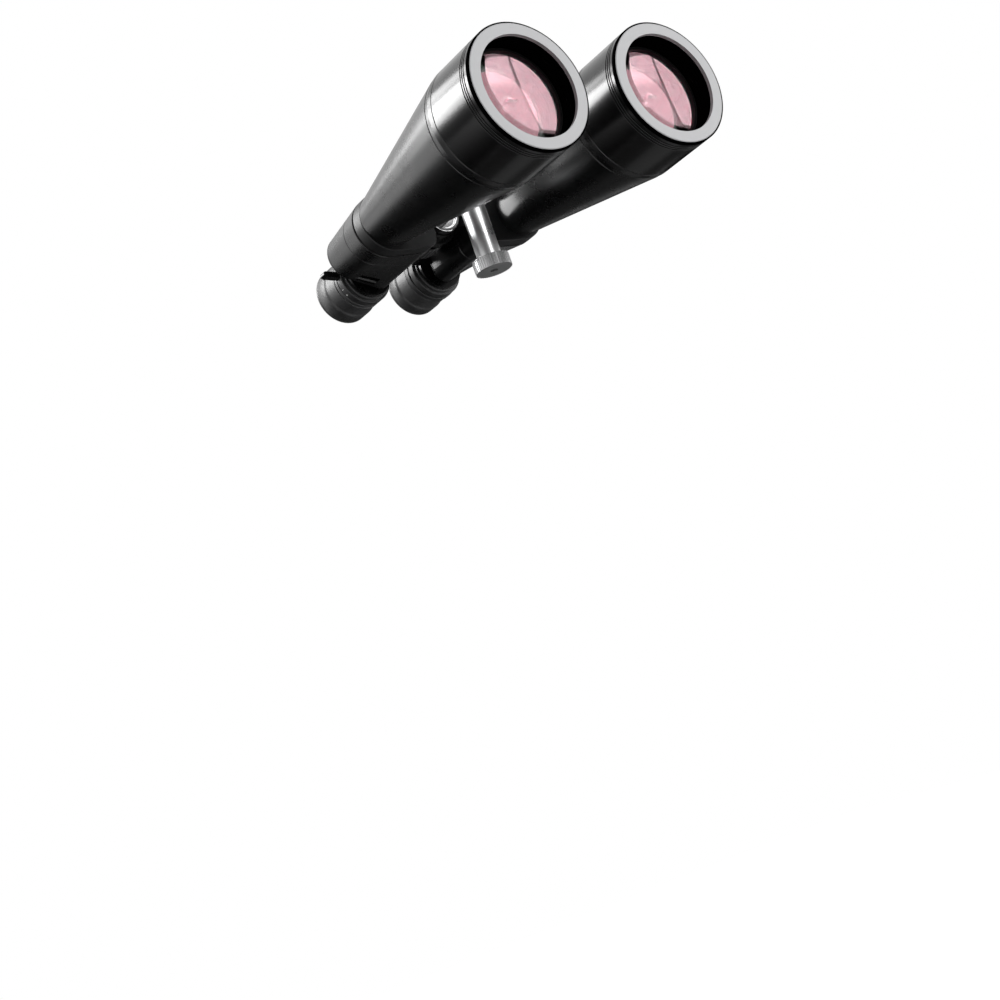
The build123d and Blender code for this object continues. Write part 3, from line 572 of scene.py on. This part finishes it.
tree, shader, spot = start_finish("black_rubber", Specular_IOR_Level=0.8)
pebble = place_effect(tree, grain, Vector=spot, Scale=1800.0)
rub = place_effect(tree, edge_rub, Vector=spot, Width=0.0009)["Mask"]
powder = place_effect(tree, dust, Vector=spot)["Mask"]
rubber = tint(tree, pebble["Cloud"], RUBBER_DEEP, RUBBER_PALE)
rubber = tint(tree, rub, rubber, RUBBER_WORN, share=0.3)
rubber = tint(tree, powder, rubber, DUST_GREY, share=0.3)
feed(
    tree, shader, Base_Color=rubber, Roughness=roughness(tree, pebble["Fine"], smooth=0.43, dull=0.55),
    Normal=bump(tree, pebble["Fine"], strength=0.25, depth=0.00012),
)
print("black_rubber")

# %% [markdown]
# ### Matt black rings
# The zoom and diopter rings are anodised matt black, rougher than the enamel. They are turned all the
# time, so their edges shine through more than those of the rubber.

# %% Matt black rings
OXIDE_DEEP, OXIDE_PALE = (0.014, 0.014, 0.0145), (0.024, 0.024, 0.0245)
OXIDE_WORN = (0.16, 0.16, 0.162)

tree, shader, spot = start_finish("matt_black", Specular_IOR_Level=0.5)
satin = place_effect(tree, grain, Vector=spot, Scale=3000.0)
rub = place_effect(tree, edge_rub, Vector=spot, Width=0.0006)["Mask"]
oxide = tint(tree, satin["Cloud"], OXIDE_DEEP, OXIDE_PALE)
oxide = tint(tree, rub, oxide, OXIDE_WORN, share=0.4)
feed(
    tree, shader, Base_Color=oxide, Roughness=roughness(tree, satin["Fine"], smooth=0.4, dull=0.5),
    Normal=bump(tree, satin["Fine"], strength=0.1, depth=0.00004),
)
print("matt_black")

# %% [markdown]
# ### Bare metals
# The shafts are turned steel, the post and the hinge cap are polished alloy, the foot is a duller alloy,
# and the eyepieces slide in brass. They differ in colour, in roughness, in the axis that they were turned
# about, and in how wide and how strong the lathe lines are, so one helper makes them all.

# %% Bare metals
STAIN, STAIN_SPREAD, STAIN_SHARE = 0.75, (0.5, 0.8), 0.35
LATHE_DEPTH = 0.00003


def bare_metal(name, colours, axis, turn, lines, rough):
    dull, bright = colours
    pitch, strength = lines
    tree, shader, spot = start_finish(name, Metallic=1.0)
    mirrored = node(tree, "ShaderNodeVectorMath", {0: spot}, operation="ABSOLUTE").outputs[0]
    placed = {"Vector": mirrored, "Location": axis, "Rotation": turn}
    centred = node(tree, "ShaderNodeMapping", placed).outputs[0]
    turning = place_effect(tree, lathe, Vector=centred, Pitch=pitch)
    smear = place_effect(tree, grain, Vector=spot, Scale=2200.0)
    metal = tint(tree, turning["Shade"], dull, bright)
    stained = remap(tree, smear["Cloud"], *STAIN_SPREAD, to_high=STAIN_SHARE)
    metal = tint(tree, stained, metal, tuple(STAIN * channel for channel in dull))
    feed(
        tree, shader, Base_Color=metal, Roughness=roughness(tree, smear["Cloud"], *rough),
        Normal=bump(tree, turning["Height"], strength, LATHE_DEPTH),
    )
    print(name)


HINGE_Z, EYE_X, EYE_Z = 0.0675, 0.0365, 0.052
HINGE_AXIS, EYE_AXIS, POST_AXIS = (0.0, 0.0, -HINGE_Z), (-EYE_X, 0.0, -EYE_Z), (0.0, 0.0, 0.0)
LEVEL, UPRIGHT = (0.0, 0.0, 0.0), (math.radians(90.0), 0.0, 0.0)
# The lines of a lathe: their pitch, and how strongly they show
TURNED, POLISHED = (0.0003, 0.2), (0.0006, 0.04)
STEEL = (0.38, 0.38, 0.38), (0.52, 0.52, 0.51)
BRIGHT_ALLOY = (0.76, 0.76, 0.77), (0.88, 0.88, 0.88)
DULL_ALLOY = (0.54, 0.54, 0.55), (0.66, 0.66, 0.66)
BRASS = (0.6, 0.43, 0.18), (0.78, 0.6, 0.3)
bare_metal("bright_steel", STEEL, HINGE_AXIS, LEVEL, TURNED, rough=(0.26, 0.38))
bare_metal("polished_metal", BRIGHT_ALLOY, POST_AXIS, UPRIGHT, POLISHED, rough=(0.27, 0.36))
bare_metal("cap_polish", BRIGHT_ALLOY, HINGE_AXIS, LEVEL, POLISHED, rough=(0.12, 0.2))
bare_metal("foot_alloy", DULL_ALLOY, POST_AXIS, UPRIGHT, POLISHED, rough=(0.3, 0.4))
bare_metal("bush_brass", BRASS, EYE_AXIS, LEVEL, TURNED, rough=(0.18, 0.3))

# %% [markdown]
# ### Moulded plastic and mark paint
# The zoom lever and the clamping screw's head are glossy moulded plastic with hairline scratches: a noise
# that is stretched along the piece. The marks are filled with white paint, which is never quite even.

# %% Plastic and paint
PLASTIC_DEEP, PLASTIC_PALE = (0.008, 0.008, 0.0085), (0.014, 0.014, 0.0145)
PLASTIC_WORN = (0.12, 0.12, 0.12)
PAINT_THIN, PAINT_FULL = (0.62, 0.62, 0.6), (0.86, 0.86, 0.84)
SCRATCH_STRETCH = (1.0, 14.0, 3.0)

tree, shader, spot = start_finish("black_plastic", Specular_IOR_Level=0.5)
flow = place_effect(tree, grain, Vector=spot, Scale=1500.0)
stretched = node(tree, "ShaderNodeMapping", {"Vector": spot, "Scale": SCRATCH_STRETCH}).outputs[0]
hairlines = remap(tree, noise(tree, stretched, scale=700.0, detail=3.0), low=0.58, high=0.7)
rub = place_effect(tree, edge_rub, Vector=spot, Width=0.0005)["Mask"]
moulded = tint(tree, flow["Cloud"], PLASTIC_DEEP, PLASTIC_PALE)
moulded = tint(tree, rub, moulded, PLASTIC_WORN, share=0.4)
feed(
    tree, shader, Base_Color=moulded, Roughness=remap(tree, hairlines, 0.0, 1.0, to_low=0.16, to_high=0.34),
    Normal=bump(tree, flow["Fine"], strength=0.06, depth=0.00005),
)
tree, shader, spot = start_finish("mark_paint", Specular_IOR_Level=0.3)
brushed = place_effect(tree, grain, Vector=spot, Scale=4000.0)
feed(
    tree, shader, Base_Color=tint(tree, brushed["Fine"], PAINT_THIN, PAINT_FULL),
    Roughness=roughness(tree, brushed["Cloud"], smooth=0.45, dull=0.6),
    Normal=bump(tree, brushed["Fine"], strength=0.2, depth=0.00004),
)
print("black_plastic and mark_paint")

# %% [markdown]
# ## Dressing the solids
# The record names a finish for each solid, under the same names as the finishes above, so one loop
# dresses them all. A few kinds take a finish of their own: the cells and front plates have their own
# versions of the enamel, the sunk seals take the inside black instead of their rubber as painted shade
# for the gap that they sit in, the prism clips are blackened, the strap bars are enamelled like the
# covers that hold them, and the foot is duller than the post.

# %% Dress the solids
OWN_FINISH = {
    "objective_cell": "cell_enamel", "front_plate": "plate_enamel", "strap_bar": "black_enamel",
    # The sunk seals take inside_black: painted shade for the gap that they sit in
    "housing_seal": "inside_black", "prism_clips": "inside_black", "adapter_foot": "foot_alloy",
}
for part in frame["record"]["subparts"]:
    kind = part["node"].removeprefix("left_").removeprefix("right_")
    mesh = nodes[part["node"]].data
    mesh.materials.clear()
    mesh.materials.append(finishes[OWN_FINISH.get(kind, part["material_slot"])])

# %% [markdown]
# ## Flags for the front panels
# The panels in front are there for the glass, the rings and the bare metal. Seen from behind, the black
# barrels would mirror them at a low angle and look silver, so a photographer would hold flags in between.
# Light linking does the same: the enamelled and blackened solids are left out of what these lamps reach,
# and so is the foot, which they would bleach.

# %% Flags
FLAGGED_FINISHES = ("black_enamel", "inside_black")

flagged = bpy.data.collections.new("flagged_solids")
for part in frame["record"]["subparts"]:
    if part["material_slot"] in FLAGGED_FINISHES or part["node"] == "adapter_foot":
        flagged.objects.link(nodes[part["node"]])
for entry in flagged.collection_objects:
    entry.light_linking.link_state = "EXCLUDE"
for panel in front_panels:
    panel.light_linking.receiver_collection = flagged

# %% [markdown]
# ## Eyecups
# An eyecup is soft rubber: its lips are round, not chamfered, and it carries fine raised rings where it
# folds. A turned outline gives that, so the cups are lathed here and stand for the plain CAD ones. The
# sizes come from the CAD box of each cup.


# %% Lathe helper
def lathed(name, outline, centre_x, centre_z, finish, segments=144, sharp=40.0):
    mesh = bpy.data.meshes.new(name)
    count = len(outline)
    points = []
    for step in range(segments):
        angle = 2 * math.pi * step / segments
        points += [(centre_x + r * math.sin(angle), y, centre_z + r * math.cos(angle)) for r, y in outline]
    faces = []
    for step in range(segments):
        here, there = step * count, (step + 1) % segments * count
        for i in range(count):
            j = (i + 1) % count
            faces.append((here + i, here + j, there + j, there + i))
    mesh.from_pydata(points, [], faces)
    mesh.materials.append(finishes[finish])
    mesh.shade_smooth()
    mesh.set_sharp_from_angle(angle=math.radians(sharp))
    piece = bpy.data.objects.new(name, mesh)
    scene.collection.objects.link(piece)
    return piece


LEAD_IN = 1.3


def rounded_corner(before, corner, after, radius, steps=5):
    at, a, b = Vector(corner), Vector(before), Vector(after)
    to_a, to_b = (a - at).normalized(), (b - at).normalized()
    start, end = at + to_a * radius, at + to_b * radius
    path = [tuple(at + to_a * radius * LEAD_IN)]
    for i in range(steps + 1):
        t = i / steps
        path.append(tuple((1 - t) ** 2 * start + 2 * t * (1 - t) * at + t * t * end))
    return path + [tuple(at + to_b * radius * LEAD_IN)]


print("lathe helper ready")

# %% Eyecups
CUP_RADIUS, CUP_BORE, CUP_MOUTH = 0.024, 0.01604, 0.0195
CUP_WELL, CUP_FUNNEL = 0.012, 0.0015
CUP_LIP, CUP_STEP, CUP_FLARE = 0.0009, 0.0005, 0.0004
CUP_FOLD, CUP_BLEND, BLEND_STEPS = 0.55, 0.0034, 6
CUP_BEAD, CUP_BAND = 0.0026, 0.004
# A groove: how far along the cup, and how deep
BAND_GROOVE = ((-0.0006, 0.0), (-0.0003, 0.0007), (0.0003, 0.0007), (0.0006, 0.0))
BEAD_GROOVE = ((-0.0005, 0.0), (-0.0002, 0.0002), (0.0002, 0.0002), (0.0005, 0.0))


def eyecup_outline(front, rear, outside, band):
    tube_end, funnel = rear - CUP_WELL, CUP_MOUTH + CUP_FUNNEL
    fold = front + CUP_FOLD * (rear - front)
    slim, wide = outside - CUP_STEP, outside + CUP_FLARE
    outline = [(CUP_BORE, front)]
    outline += rounded_corner((CUP_BORE, front), (slim, front), (slim, fold), CUP_LIP)
    if band:
        outline += [(slim - depth, band + offset) for offset, depth in BAND_GROOVE]
    for step in range(BLEND_STEPS + 1):
        blend = (1 - math.cos(math.pi * step / BLEND_STEPS)) / 2
        along = fold + CUP_BLEND * (step / BLEND_STEPS - 0.5)
        outline.append((slim + (wide - slim) * blend, along))
    outline += [(wide - depth, rear - CUP_BEAD + offset) for offset, depth in BEAD_GROOVE]
    outline += rounded_corner((wide, fold), (wide, rear), (CUP_MOUTH, rear), CUP_LIP)
    outline += rounded_corner((wide, rear), (funnel, rear), (CUP_MOUTH, tube_end), CUP_LIP)
    outline += rounded_corner((funnel, rear), (CUP_MOUTH, tube_end), (CUP_BORE, tube_end), CUP_LIP)
    outline.append((CUP_BORE, tube_end))
    return outline


RIGHT, LEFT = -1, 1
SIDES = (("left", LEFT), ("right", RIGHT))
for side, sign in SIDES:
    low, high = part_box(f"{side}_eyecup")
    outline = eyecup_outline(low.y, high.y, CUP_RADIUS, low.y + CUP_BAND if sign == RIGHT else None)
    cup = lathed(f"{side}_soft_eyecup", outline, sign * EYE_X, EYE_Z, "black_rubber")
    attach(cup, f"{side}_ocular")
    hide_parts(f"{side}_eyecup")
    print(f"{side} eyecup {high.y - low.y:.4f} m long")

# %% [markdown]
# ## Bright face of the hinge cap
# The cap is black, with a pressed bright face over its rim and its dish. It is thin sheet, so it follows
# the CAD front closely and only its rolled edge stands proud. A second finish on the solid would be
# quicker, but the rolled edge is what catches the light.

# %% Hinge cap face
SHEET = 0.00012
CAP_RIM, CAP_DISH, CAP_DEPTH, CAP_SKIRT = 0.0153, 0.0121, 0.0016, 0.0009
CAP_TAPER, CAP_ROUND, CAP_FLOOR_ROUND = 0.0003, 0.0006, 0.0005
PINHOLE = 0.0002

low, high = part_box("hinge_cap")
face, floor_y, skirt = low.y - SHEET, low.y + CAP_DEPTH - SHEET, low.y + CAP_SKIRT
wall = CAP_DISH - CAP_TAPER
outline = [(CAP_RIM, skirt)]
outline += rounded_corner((CAP_RIM, skirt), (CAP_RIM, face), (CAP_DISH, face), CAP_ROUND)
outline += rounded_corner((CAP_RIM, face), (CAP_DISH, face), (wall, floor_y), CAP_ROUND)
outline += rounded_corner((CAP_DISH, face), (wall, floor_y), (PINHOLE, floor_y), CAP_FLOOR_ROUND)
back, inside = floor_y + 2 * SHEET, CAP_RIM - 2 * SHEET
outline += [(PINHOLE, floor_y), (PINHOLE, back), (CAP_DISH, back)]
outline += [(CAP_DISH + SHEET, low.y + SHEET), (inside, low.y + SHEET), (inside, skirt)]
cap_face = lathed("hinge_cap_face", outline, 0.0, HINGE_Z, "cap_polish")
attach(cap_face, "left_half")
print(f"hinge cap face {2000 * CAP_RIM:.1f} mm across")

# %% [markdown]
# ## Rules for what repeats
# Ribs, scale marks and screws repeat, so each is one Geometry Nodes tree: a small rule with named sizes.
# An empty object carries the tree just long enough to be evaluated. The result is copied into a plain
# mesh and the modifier goes, so every piece ends as ordinary faces in their final place.


# %% Geometry Nodes helpers
def rule(name, **inputs):
    tree = bpy.data.node_groups.new(name, "GeometryNodeTree")
    for label, kind in inputs.items():
        tree.interface.new_socket(label, in_out="INPUT", socket_type=f"NodeSocket{kind}")
    tree.interface.new_socket("Result", in_out="OUTPUT", socket_type="NodeSocketGeometry")
    given = tree.nodes.new("NodeGroupInput").outputs
    return tree, given, tree.nodes.new("NodeGroupOutput").inputs["Result"]


def end_rule(tree, shape, finish, result):
    real = node(tree, "GeometryNodeRealizeInstances", {"Geometry": shape}).outputs[0]
    coloured = node(tree, "GeometryNodeSetMaterial", {"Geometry": real, "Material": finish}).outputs[0]
    tree.links.new(coloured, result)


def grown(name, tree, body, slot=None, spots=(), sharp=40.0, **sizes):
    mesh = bpy.data.meshes.new(name)
    mesh.from_pydata(list(spots), [], [])
    piece = bpy.data.objects.new(name, mesh)
    scene.collection.objects.link(piece)
    modifier = piece.modifiers.new(name, "NODES")
    modifier.node_group = tree
    for item in tree.interface.items_tree:
        if item.in_out == "INPUT" and item.name in sizes:
            modifier[item.identifier] = sizes[item.name]
    ready = piece.evaluated_get(bpy.context.evaluated_depsgraph_get())
    piece.data = bpy.data.meshes.new_from_object(ready)
    piece.modifiers.clear()
    piece.data.shade_smooth()
    piece.data.set_sharp_from_angle(angle=math.radians(sharp))
    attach(piece, body)
    print(f"{name} {len(piece.data.polygons)} faces")
    return piece


def angled(tree, angle, operation):
    return node(tree, "ShaderNodeMath", {0: angle}, operation=operation).outputs[0]


print("rule helpers ready")

# %% [markdown]
# ## Ribbed focus grip
# The focus wheel wears a moulded rubber sleeve that the fingers push round. Its shape follows one rule: a
# rounded band swept round the hinge, with its outer skin drawn in wherever a cosine of the angle peaks,
# which leaves broad soft ribs with narrow valleys. Each rib could be drawn by hand, but the rule keeps
# them even and lets their number change.

# %% Focus grip
STEPS_A_RIB, CORNER_STEPS = 12, 4
VALLEY_SHARPNESS = 3.0
GRIP_RIBS, GRIP_VALLEY, GRIP_CORNER, GRIP_WALL = 36, 0.0008, 0.0009, 0.00298

sleeve, given, result = rule(
    "ribbed sleeve", Radius="Float", Length="Float", Wall="Float", Corner="Float", Ribs="Int",
    Valley="Float", Place="Vector", Finish="Material",
)
steps = product(sleeve, given["Ribs"], STEPS_A_RIB)
ring = node(sleeve, "GeometryNodeCurvePrimitiveCircle", {"Resolution": steps, "Radius": given["Radius"]})
section = {"Width": given["Wall"], "Height": given["Length"]}
band = node(sleeve, "GeometryNodeCurvePrimitiveQuadrilateral", section)
corners = {"Curve": band.outputs[0], "Count": CORNER_STEPS, "Radius": given["Corner"]}
soft_band = node(sleeve, "GeometryNodeFilletCurve", corners, mode="POLY")
path = {"Curve": ring.outputs[0], "Profile Curve": soft_band.outputs[0]}
swept = node(sleeve, "GeometryNodeCurveToMesh", path)
place = node(sleeve, "ShaderNodeSeparateXYZ", {0: node(sleeve, "GeometryNodeInputPosition").outputs[0]})
flattened = {"X": place.outputs["X"], "Y": place.outputs["Y"]}
outward = node(sleeve, "ShaderNodeCombineXYZ", flattened).outputs[0]
reach = node(sleeve, "ShaderNodeVectorMath", {0: outward}, operation="LENGTH").outputs["Value"]
outside = combined(sleeve, reach, given["Radius"], operation="SUBTRACT")
skin = remap(sleeve, outside, 0.0, product(sleeve, given["Wall"], 0.5))
angle = combined(sleeve, place.outputs["Y"], place.outputs["X"], operation="ARCTAN2")
wave = angled(sleeve, product(sleeve, angle, given["Ribs"]), "COSINE")
crest = combined(sleeve, wave, 0.0, operation="MAXIMUM")
peak = combined(sleeve, crest, VALLEY_SHARPNESS, operation="POWER")
drawn_in = product(sleeve, peak, skin, given["Valley"], -1.0)
radial = node(sleeve, "ShaderNodeVectorMath", {0: outward}, operation="NORMALIZE").outputs[0]
offset = node(sleeve, "ShaderNodeVectorMath", {0: radial, "Scale": drawn_in}, operation="SCALE").outputs[0]
ribbed = node(sleeve, "GeometryNodeSetPosition", {"Geometry": swept.outputs[0], "Offset": offset})
standing = {"Geometry": ribbed.outputs[0], "Translation": given["Place"], "Rotation": UPRIGHT}
end_rule(sleeve, node(sleeve, "GeometryNodeTransform", standing).outputs[0], given["Finish"], result)

low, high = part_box("focus_grip")
outer = (high.z - low.z) / 2
inner = outer - GRIP_WALL
grip = grown(
    "focus_rubber_grip", sleeve, "focus_wheel", "black_rubber", Radius=(outer + inner) / 2,
    Length=high.y - low.y, Wall=outer - inner, Corner=GRIP_CORNER, Ribs=GRIP_RIBS, Valley=GRIP_VALLEY,
    Place=(0.0, (low.y + high.y) / 2, HINGE_Z), Finish=finishes["black_rubber"],
)
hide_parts("focus_grip")

# %% [markdown]
# ## Marks on the rings
# The zoom and diopter rings carry a scale: short bars filled with white paint, a longer one at each step,
# and a round index dot. They stand in an arc, so a tree places bars on points that it works out from an
# angle. They could be painted as a texture, but thin solids stay sharp and keep their place in an export.

# %% Ring marks
MARK_THICKNESS = 0.0001
SHORT_BAR = 0.6
DOT_SIDES = 28

marks, given, result = rule(
    "ring marks", Count="Int", First="Float", Step="Float", Every="Int", Radius="Float", Along="Float",
    Size="Vector", Round="Bool", Place="Vector", Finish="Material",
)
index = node(marks, "GeometryNodeInputIndex").outputs[0]
angle = combined(marks, given["First"], product(marks, index, given["Step"]))
across, up = [product(marks, angled(marks, angle, kind), given["Radius"]) for kind in ("SINE", "COSINE")]
arc = node(marks, "ShaderNodeCombineXYZ", {"X": across, "Y": given["Along"], "Z": up}).outputs[0]
stand = node(marks, "ShaderNodeVectorMath", {0: arc, 1: given["Place"]}).outputs[0]
points = node(marks, "GeometryNodePoints", {"Count": given["Count"], "Position": stand}).outputs[0]
since_step = combined(marks, index, given["Every"], operation="MODULO")
is_step = combined(marks, since_step, 0.5, operation="LESS_THAN")
length = remap(marks, is_step, 0.0, 1.0, SHORT_BAR, 1.0)
size = node(marks, "ShaderNodeSeparateXYZ", {0: given["Size"]})
bar = node(marks, "GeometryNodeMeshCube", {"Size": given["Size"]}).outputs[0]
half_width = product(marks, size.outputs["X"], 0.5)
disc = {"Vertices": DOT_SIDES, "Radius": half_width, "Depth": size.outputs["Z"]}
dot = node(marks, "GeometryNodeMeshCylinder", disc).outputs[0]
choice = {"Switch": given["Round"], "False": bar, "True": dot}
shape = node(marks, "GeometryNodeSwitch", choice, input_type="GEOMETRY").outputs[0]
turned = node(marks, "ShaderNodeCombineXYZ", {"Y": angle}).outputs[0]
stretched = node(marks, "ShaderNodeCombineXYZ", {"X": 1.0, "Y": length, "Z": 1.0}).outputs[0]
placed = {"Points": points, "Instance": shape, "Rotation": turned, "Scale": stretched}
end_rule(marks, node(marks, "GeometryNodeInstanceOnPoints", placed).outputs[0], given["Finish"], result)


def ring_marks(name, node_name, side, count, first, step, every, along, width, long, dot=False):
    low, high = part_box(node_name)
    return grown(
        name, marks, node_name, Count=count, First=math.radians(first), Step=math.radians(step),
        Every=every, Radius=(high.z - low.z) / 2, Along=low.y + along, Size=(width, long, MARK_THICKNESS),
        Round=dot, Place=(side * EYE_X, 0.0, EYE_Z), Finish=finishes["mark_paint"],
    )


# A row of marks: its name, ring and side, how many, the first angle and the step between them, which ones
# are long, how far along the ring, width and length
ring_marks("zoom_scale_bars", "right_zoom_ring", RIGHT, 13, -68.0, 6.5, 4, 0.0045, 0.0003, 0.0016)
ring_marks("zoom_index_bar", "right_zoom_ring", RIGHT, 1, -110.0, 0.0, 1, 0.0078, 0.0005, 0.0026)
ring_marks("zoom_index_dot", "right_zoom_ring", RIGHT, 1, -123.0, 0.0, 1, 0.0078, 0.0016, 0.0016, True)
ring_marks("left_zoom_bar", "left_zoom_ring", LEFT, 1, 0.0, 0.0, 1, 0.0066, 0.0006, 0.0036)
ring_marks("diopter_bars", "diopter_ring", LEFT, 9, -32.0, 8.0, 4, 0.0011, 0.0003, 0.0012)

# %% [markdown]
# ## Numbers on the rings
# The scales are plain: magnifications on the zoom ring, and a plus, a nought and a minus on the diopter
# ring. Each number is drawn flat, made a mesh, and then wrapped round its ring, upright for an eye behind
# it. A curve could bend the text too, but moving the points in code leaves nothing to apply afterwards.


# %% Ring numbers
def ring_numbers(name, node_name, side, words, along, size):
    low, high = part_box(node_name)
    radius = (high.z - low.z) / 2
    joined = bmesh.new()
    for word, angle in words.items():
        lettering = bpy.data.curves.new(name, "FONT")
        lettering.body, lettering.size, lettering.extrude = word, size, MARK_THICKNESS / 2
        lettering.align_x, lettering.align_y = "CENTER", "CENTER"
        flat = bpy.data.objects.new(name, lettering)
        scene.collection.objects.link(flat)
        ready = flat.evaluated_get(bpy.context.evaluated_depsgraph_get())
        mesh = bpy.data.meshes.new_from_object(ready)
        bpy.data.objects.remove(flat)
        for vertex in mesh.vertices:
            turn = math.radians(angle) - vertex.co.x / radius
            reach = radius + vertex.co.z
            x, z = side * EYE_X + reach * math.sin(turn), EYE_Z + reach * math.cos(turn)
            vertex.co = (x, low.y + along - vertex.co.y, z)
        joined.from_mesh(mesh)
    mesh = bpy.data.meshes.new(name)
    joined.to_mesh(mesh)
    mesh.materials.append(finishes["mark_paint"])
    piece = bpy.data.objects.new(name, mesh)
    scene.collection.objects.link(piece)
    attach(piece, node_name)
    print(f"{name} {len(mesh.polygons)} faces")


ZOOM_STEPS = {"80": -68.0, "60": -42.0, "40": -16.0, "20": 10.0}
DIOPTER_STEPS = {"+": -32.0, "0": 0.0, "-": 32.0}
ring_numbers("zoom_numbers", "right_zoom_ring", RIGHT, ZOOM_STEPS, along=0.0074, size=0.0028)
ring_numbers("diopter_numbers", "diopter_ring", LEFT, DIOPTER_STEPS, along=0.0033, size=0.0024)

# %% [markdown]
# ## Cover screws
# Each rear cover is held by three small cross-headed screws, black like the cover. Six heads could be
# placed by hand. One tree cuts the cross into a chamfered head and sets a copy on each spot instead, turned
# by a seeded random angle, as a screwdriver leaves them.

# %% Cover screws
SCREW_SPOTS = ((0.0665, 0.0625), (0.0575, 0.0765), (0.0315, 0.0805))
SCREW_RADIUS, SCREW_HEIGHT, SCREW_SLOT = 0.0021, 0.0009, 0.0005
SCREW_SIDES, SCREW_TOP, SLOT_REACH = 32, 0.78, 1.1
SCREW_SEED = 5
COVER_FACE = 0.1035
FACING_BACK = -math.pi / 2

screws, given, result = rule(
    "screw heads", Spots="Geometry", Radius="Float", Height="Float", Slot="Float", Seed="Int",
    Finish="Material",
)
top = product(screws, given["Radius"], SCREW_TOP)
cone = {"Vertices": SCREW_SIDES, "Depth": given["Height"]}
cone |= {"Radius Top": top, "Radius Bottom": given["Radius"]}
head = node(screws, "GeometryNodeMeshCone", cone).outputs[0]
blades = []
for long, wide in (("X", "Y"), ("Y", "X")):
    reach = product(screws, given["Radius"], SLOT_REACH)
    blade = {long: reach, wide: given["Slot"], "Z": given["Height"]}
    blade = node(screws, "ShaderNodeCombineXYZ", blade).outputs[0]
    blades.append(node(screws, "GeometryNodeMeshCube", {"Size": blade}).outputs[0])
lift = node(screws, "ShaderNodeCombineXYZ", {"Z": given["Height"]}).outputs[0]
cutters = node(screws, "GeometryNodeJoinGeometry")
for blade in blades:
    raised = node(screws, "GeometryNodeTransform", {"Geometry": blade, "Translation": lift}).outputs[0]
    screws.links.new(raised, cutters.inputs[0])
crossed = node(
    screws, "GeometryNodeMeshBoolean", {"Mesh 1": head, "Mesh 2": cutters.outputs[0]},
    operation="DIFFERENCE", solver="EXACT",
)
crossed.inputs["Self Intersection"].default_value = True
turns = {"Min": (FACING_BACK, 0.0, 0.0), "Max": (FACING_BACK, math.pi, 0.0)}
spin = node(screws, "FunctionNodeRandomValue", turns, data_type="FLOAT_VECTOR")
screws.links.new(given["Seed"], spin.inputs["Seed"])
placed = {"Points": given["Spots"], "Instance": crossed.outputs[0], "Rotation": spin.outputs[0]}
end_rule(screws, node(screws, "GeometryNodeInstanceOnPoints", placed).outputs[0], given["Finish"], result)

for side, sign in SIDES:
    spots = [(sign * x, COVER_FACE, z) for x, z in SCREW_SPOTS]
    grown(
        f"{side}_cover_screws", screws, f"{side}_half", "matt_black", spots, Radius=SCREW_RADIUS,
        Height=SCREW_HEIGHT, Slot=SCREW_SLOT, Seed=SCREW_SEED, Finish=finishes["matt_black"],
    )

# %% [markdown]
# ## Sizes
# The size of the dressed object's box is printed.

# %% Sizes
low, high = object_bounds()
print("visual box", [round(b - a, 4) for a, b in zip(low, high)])
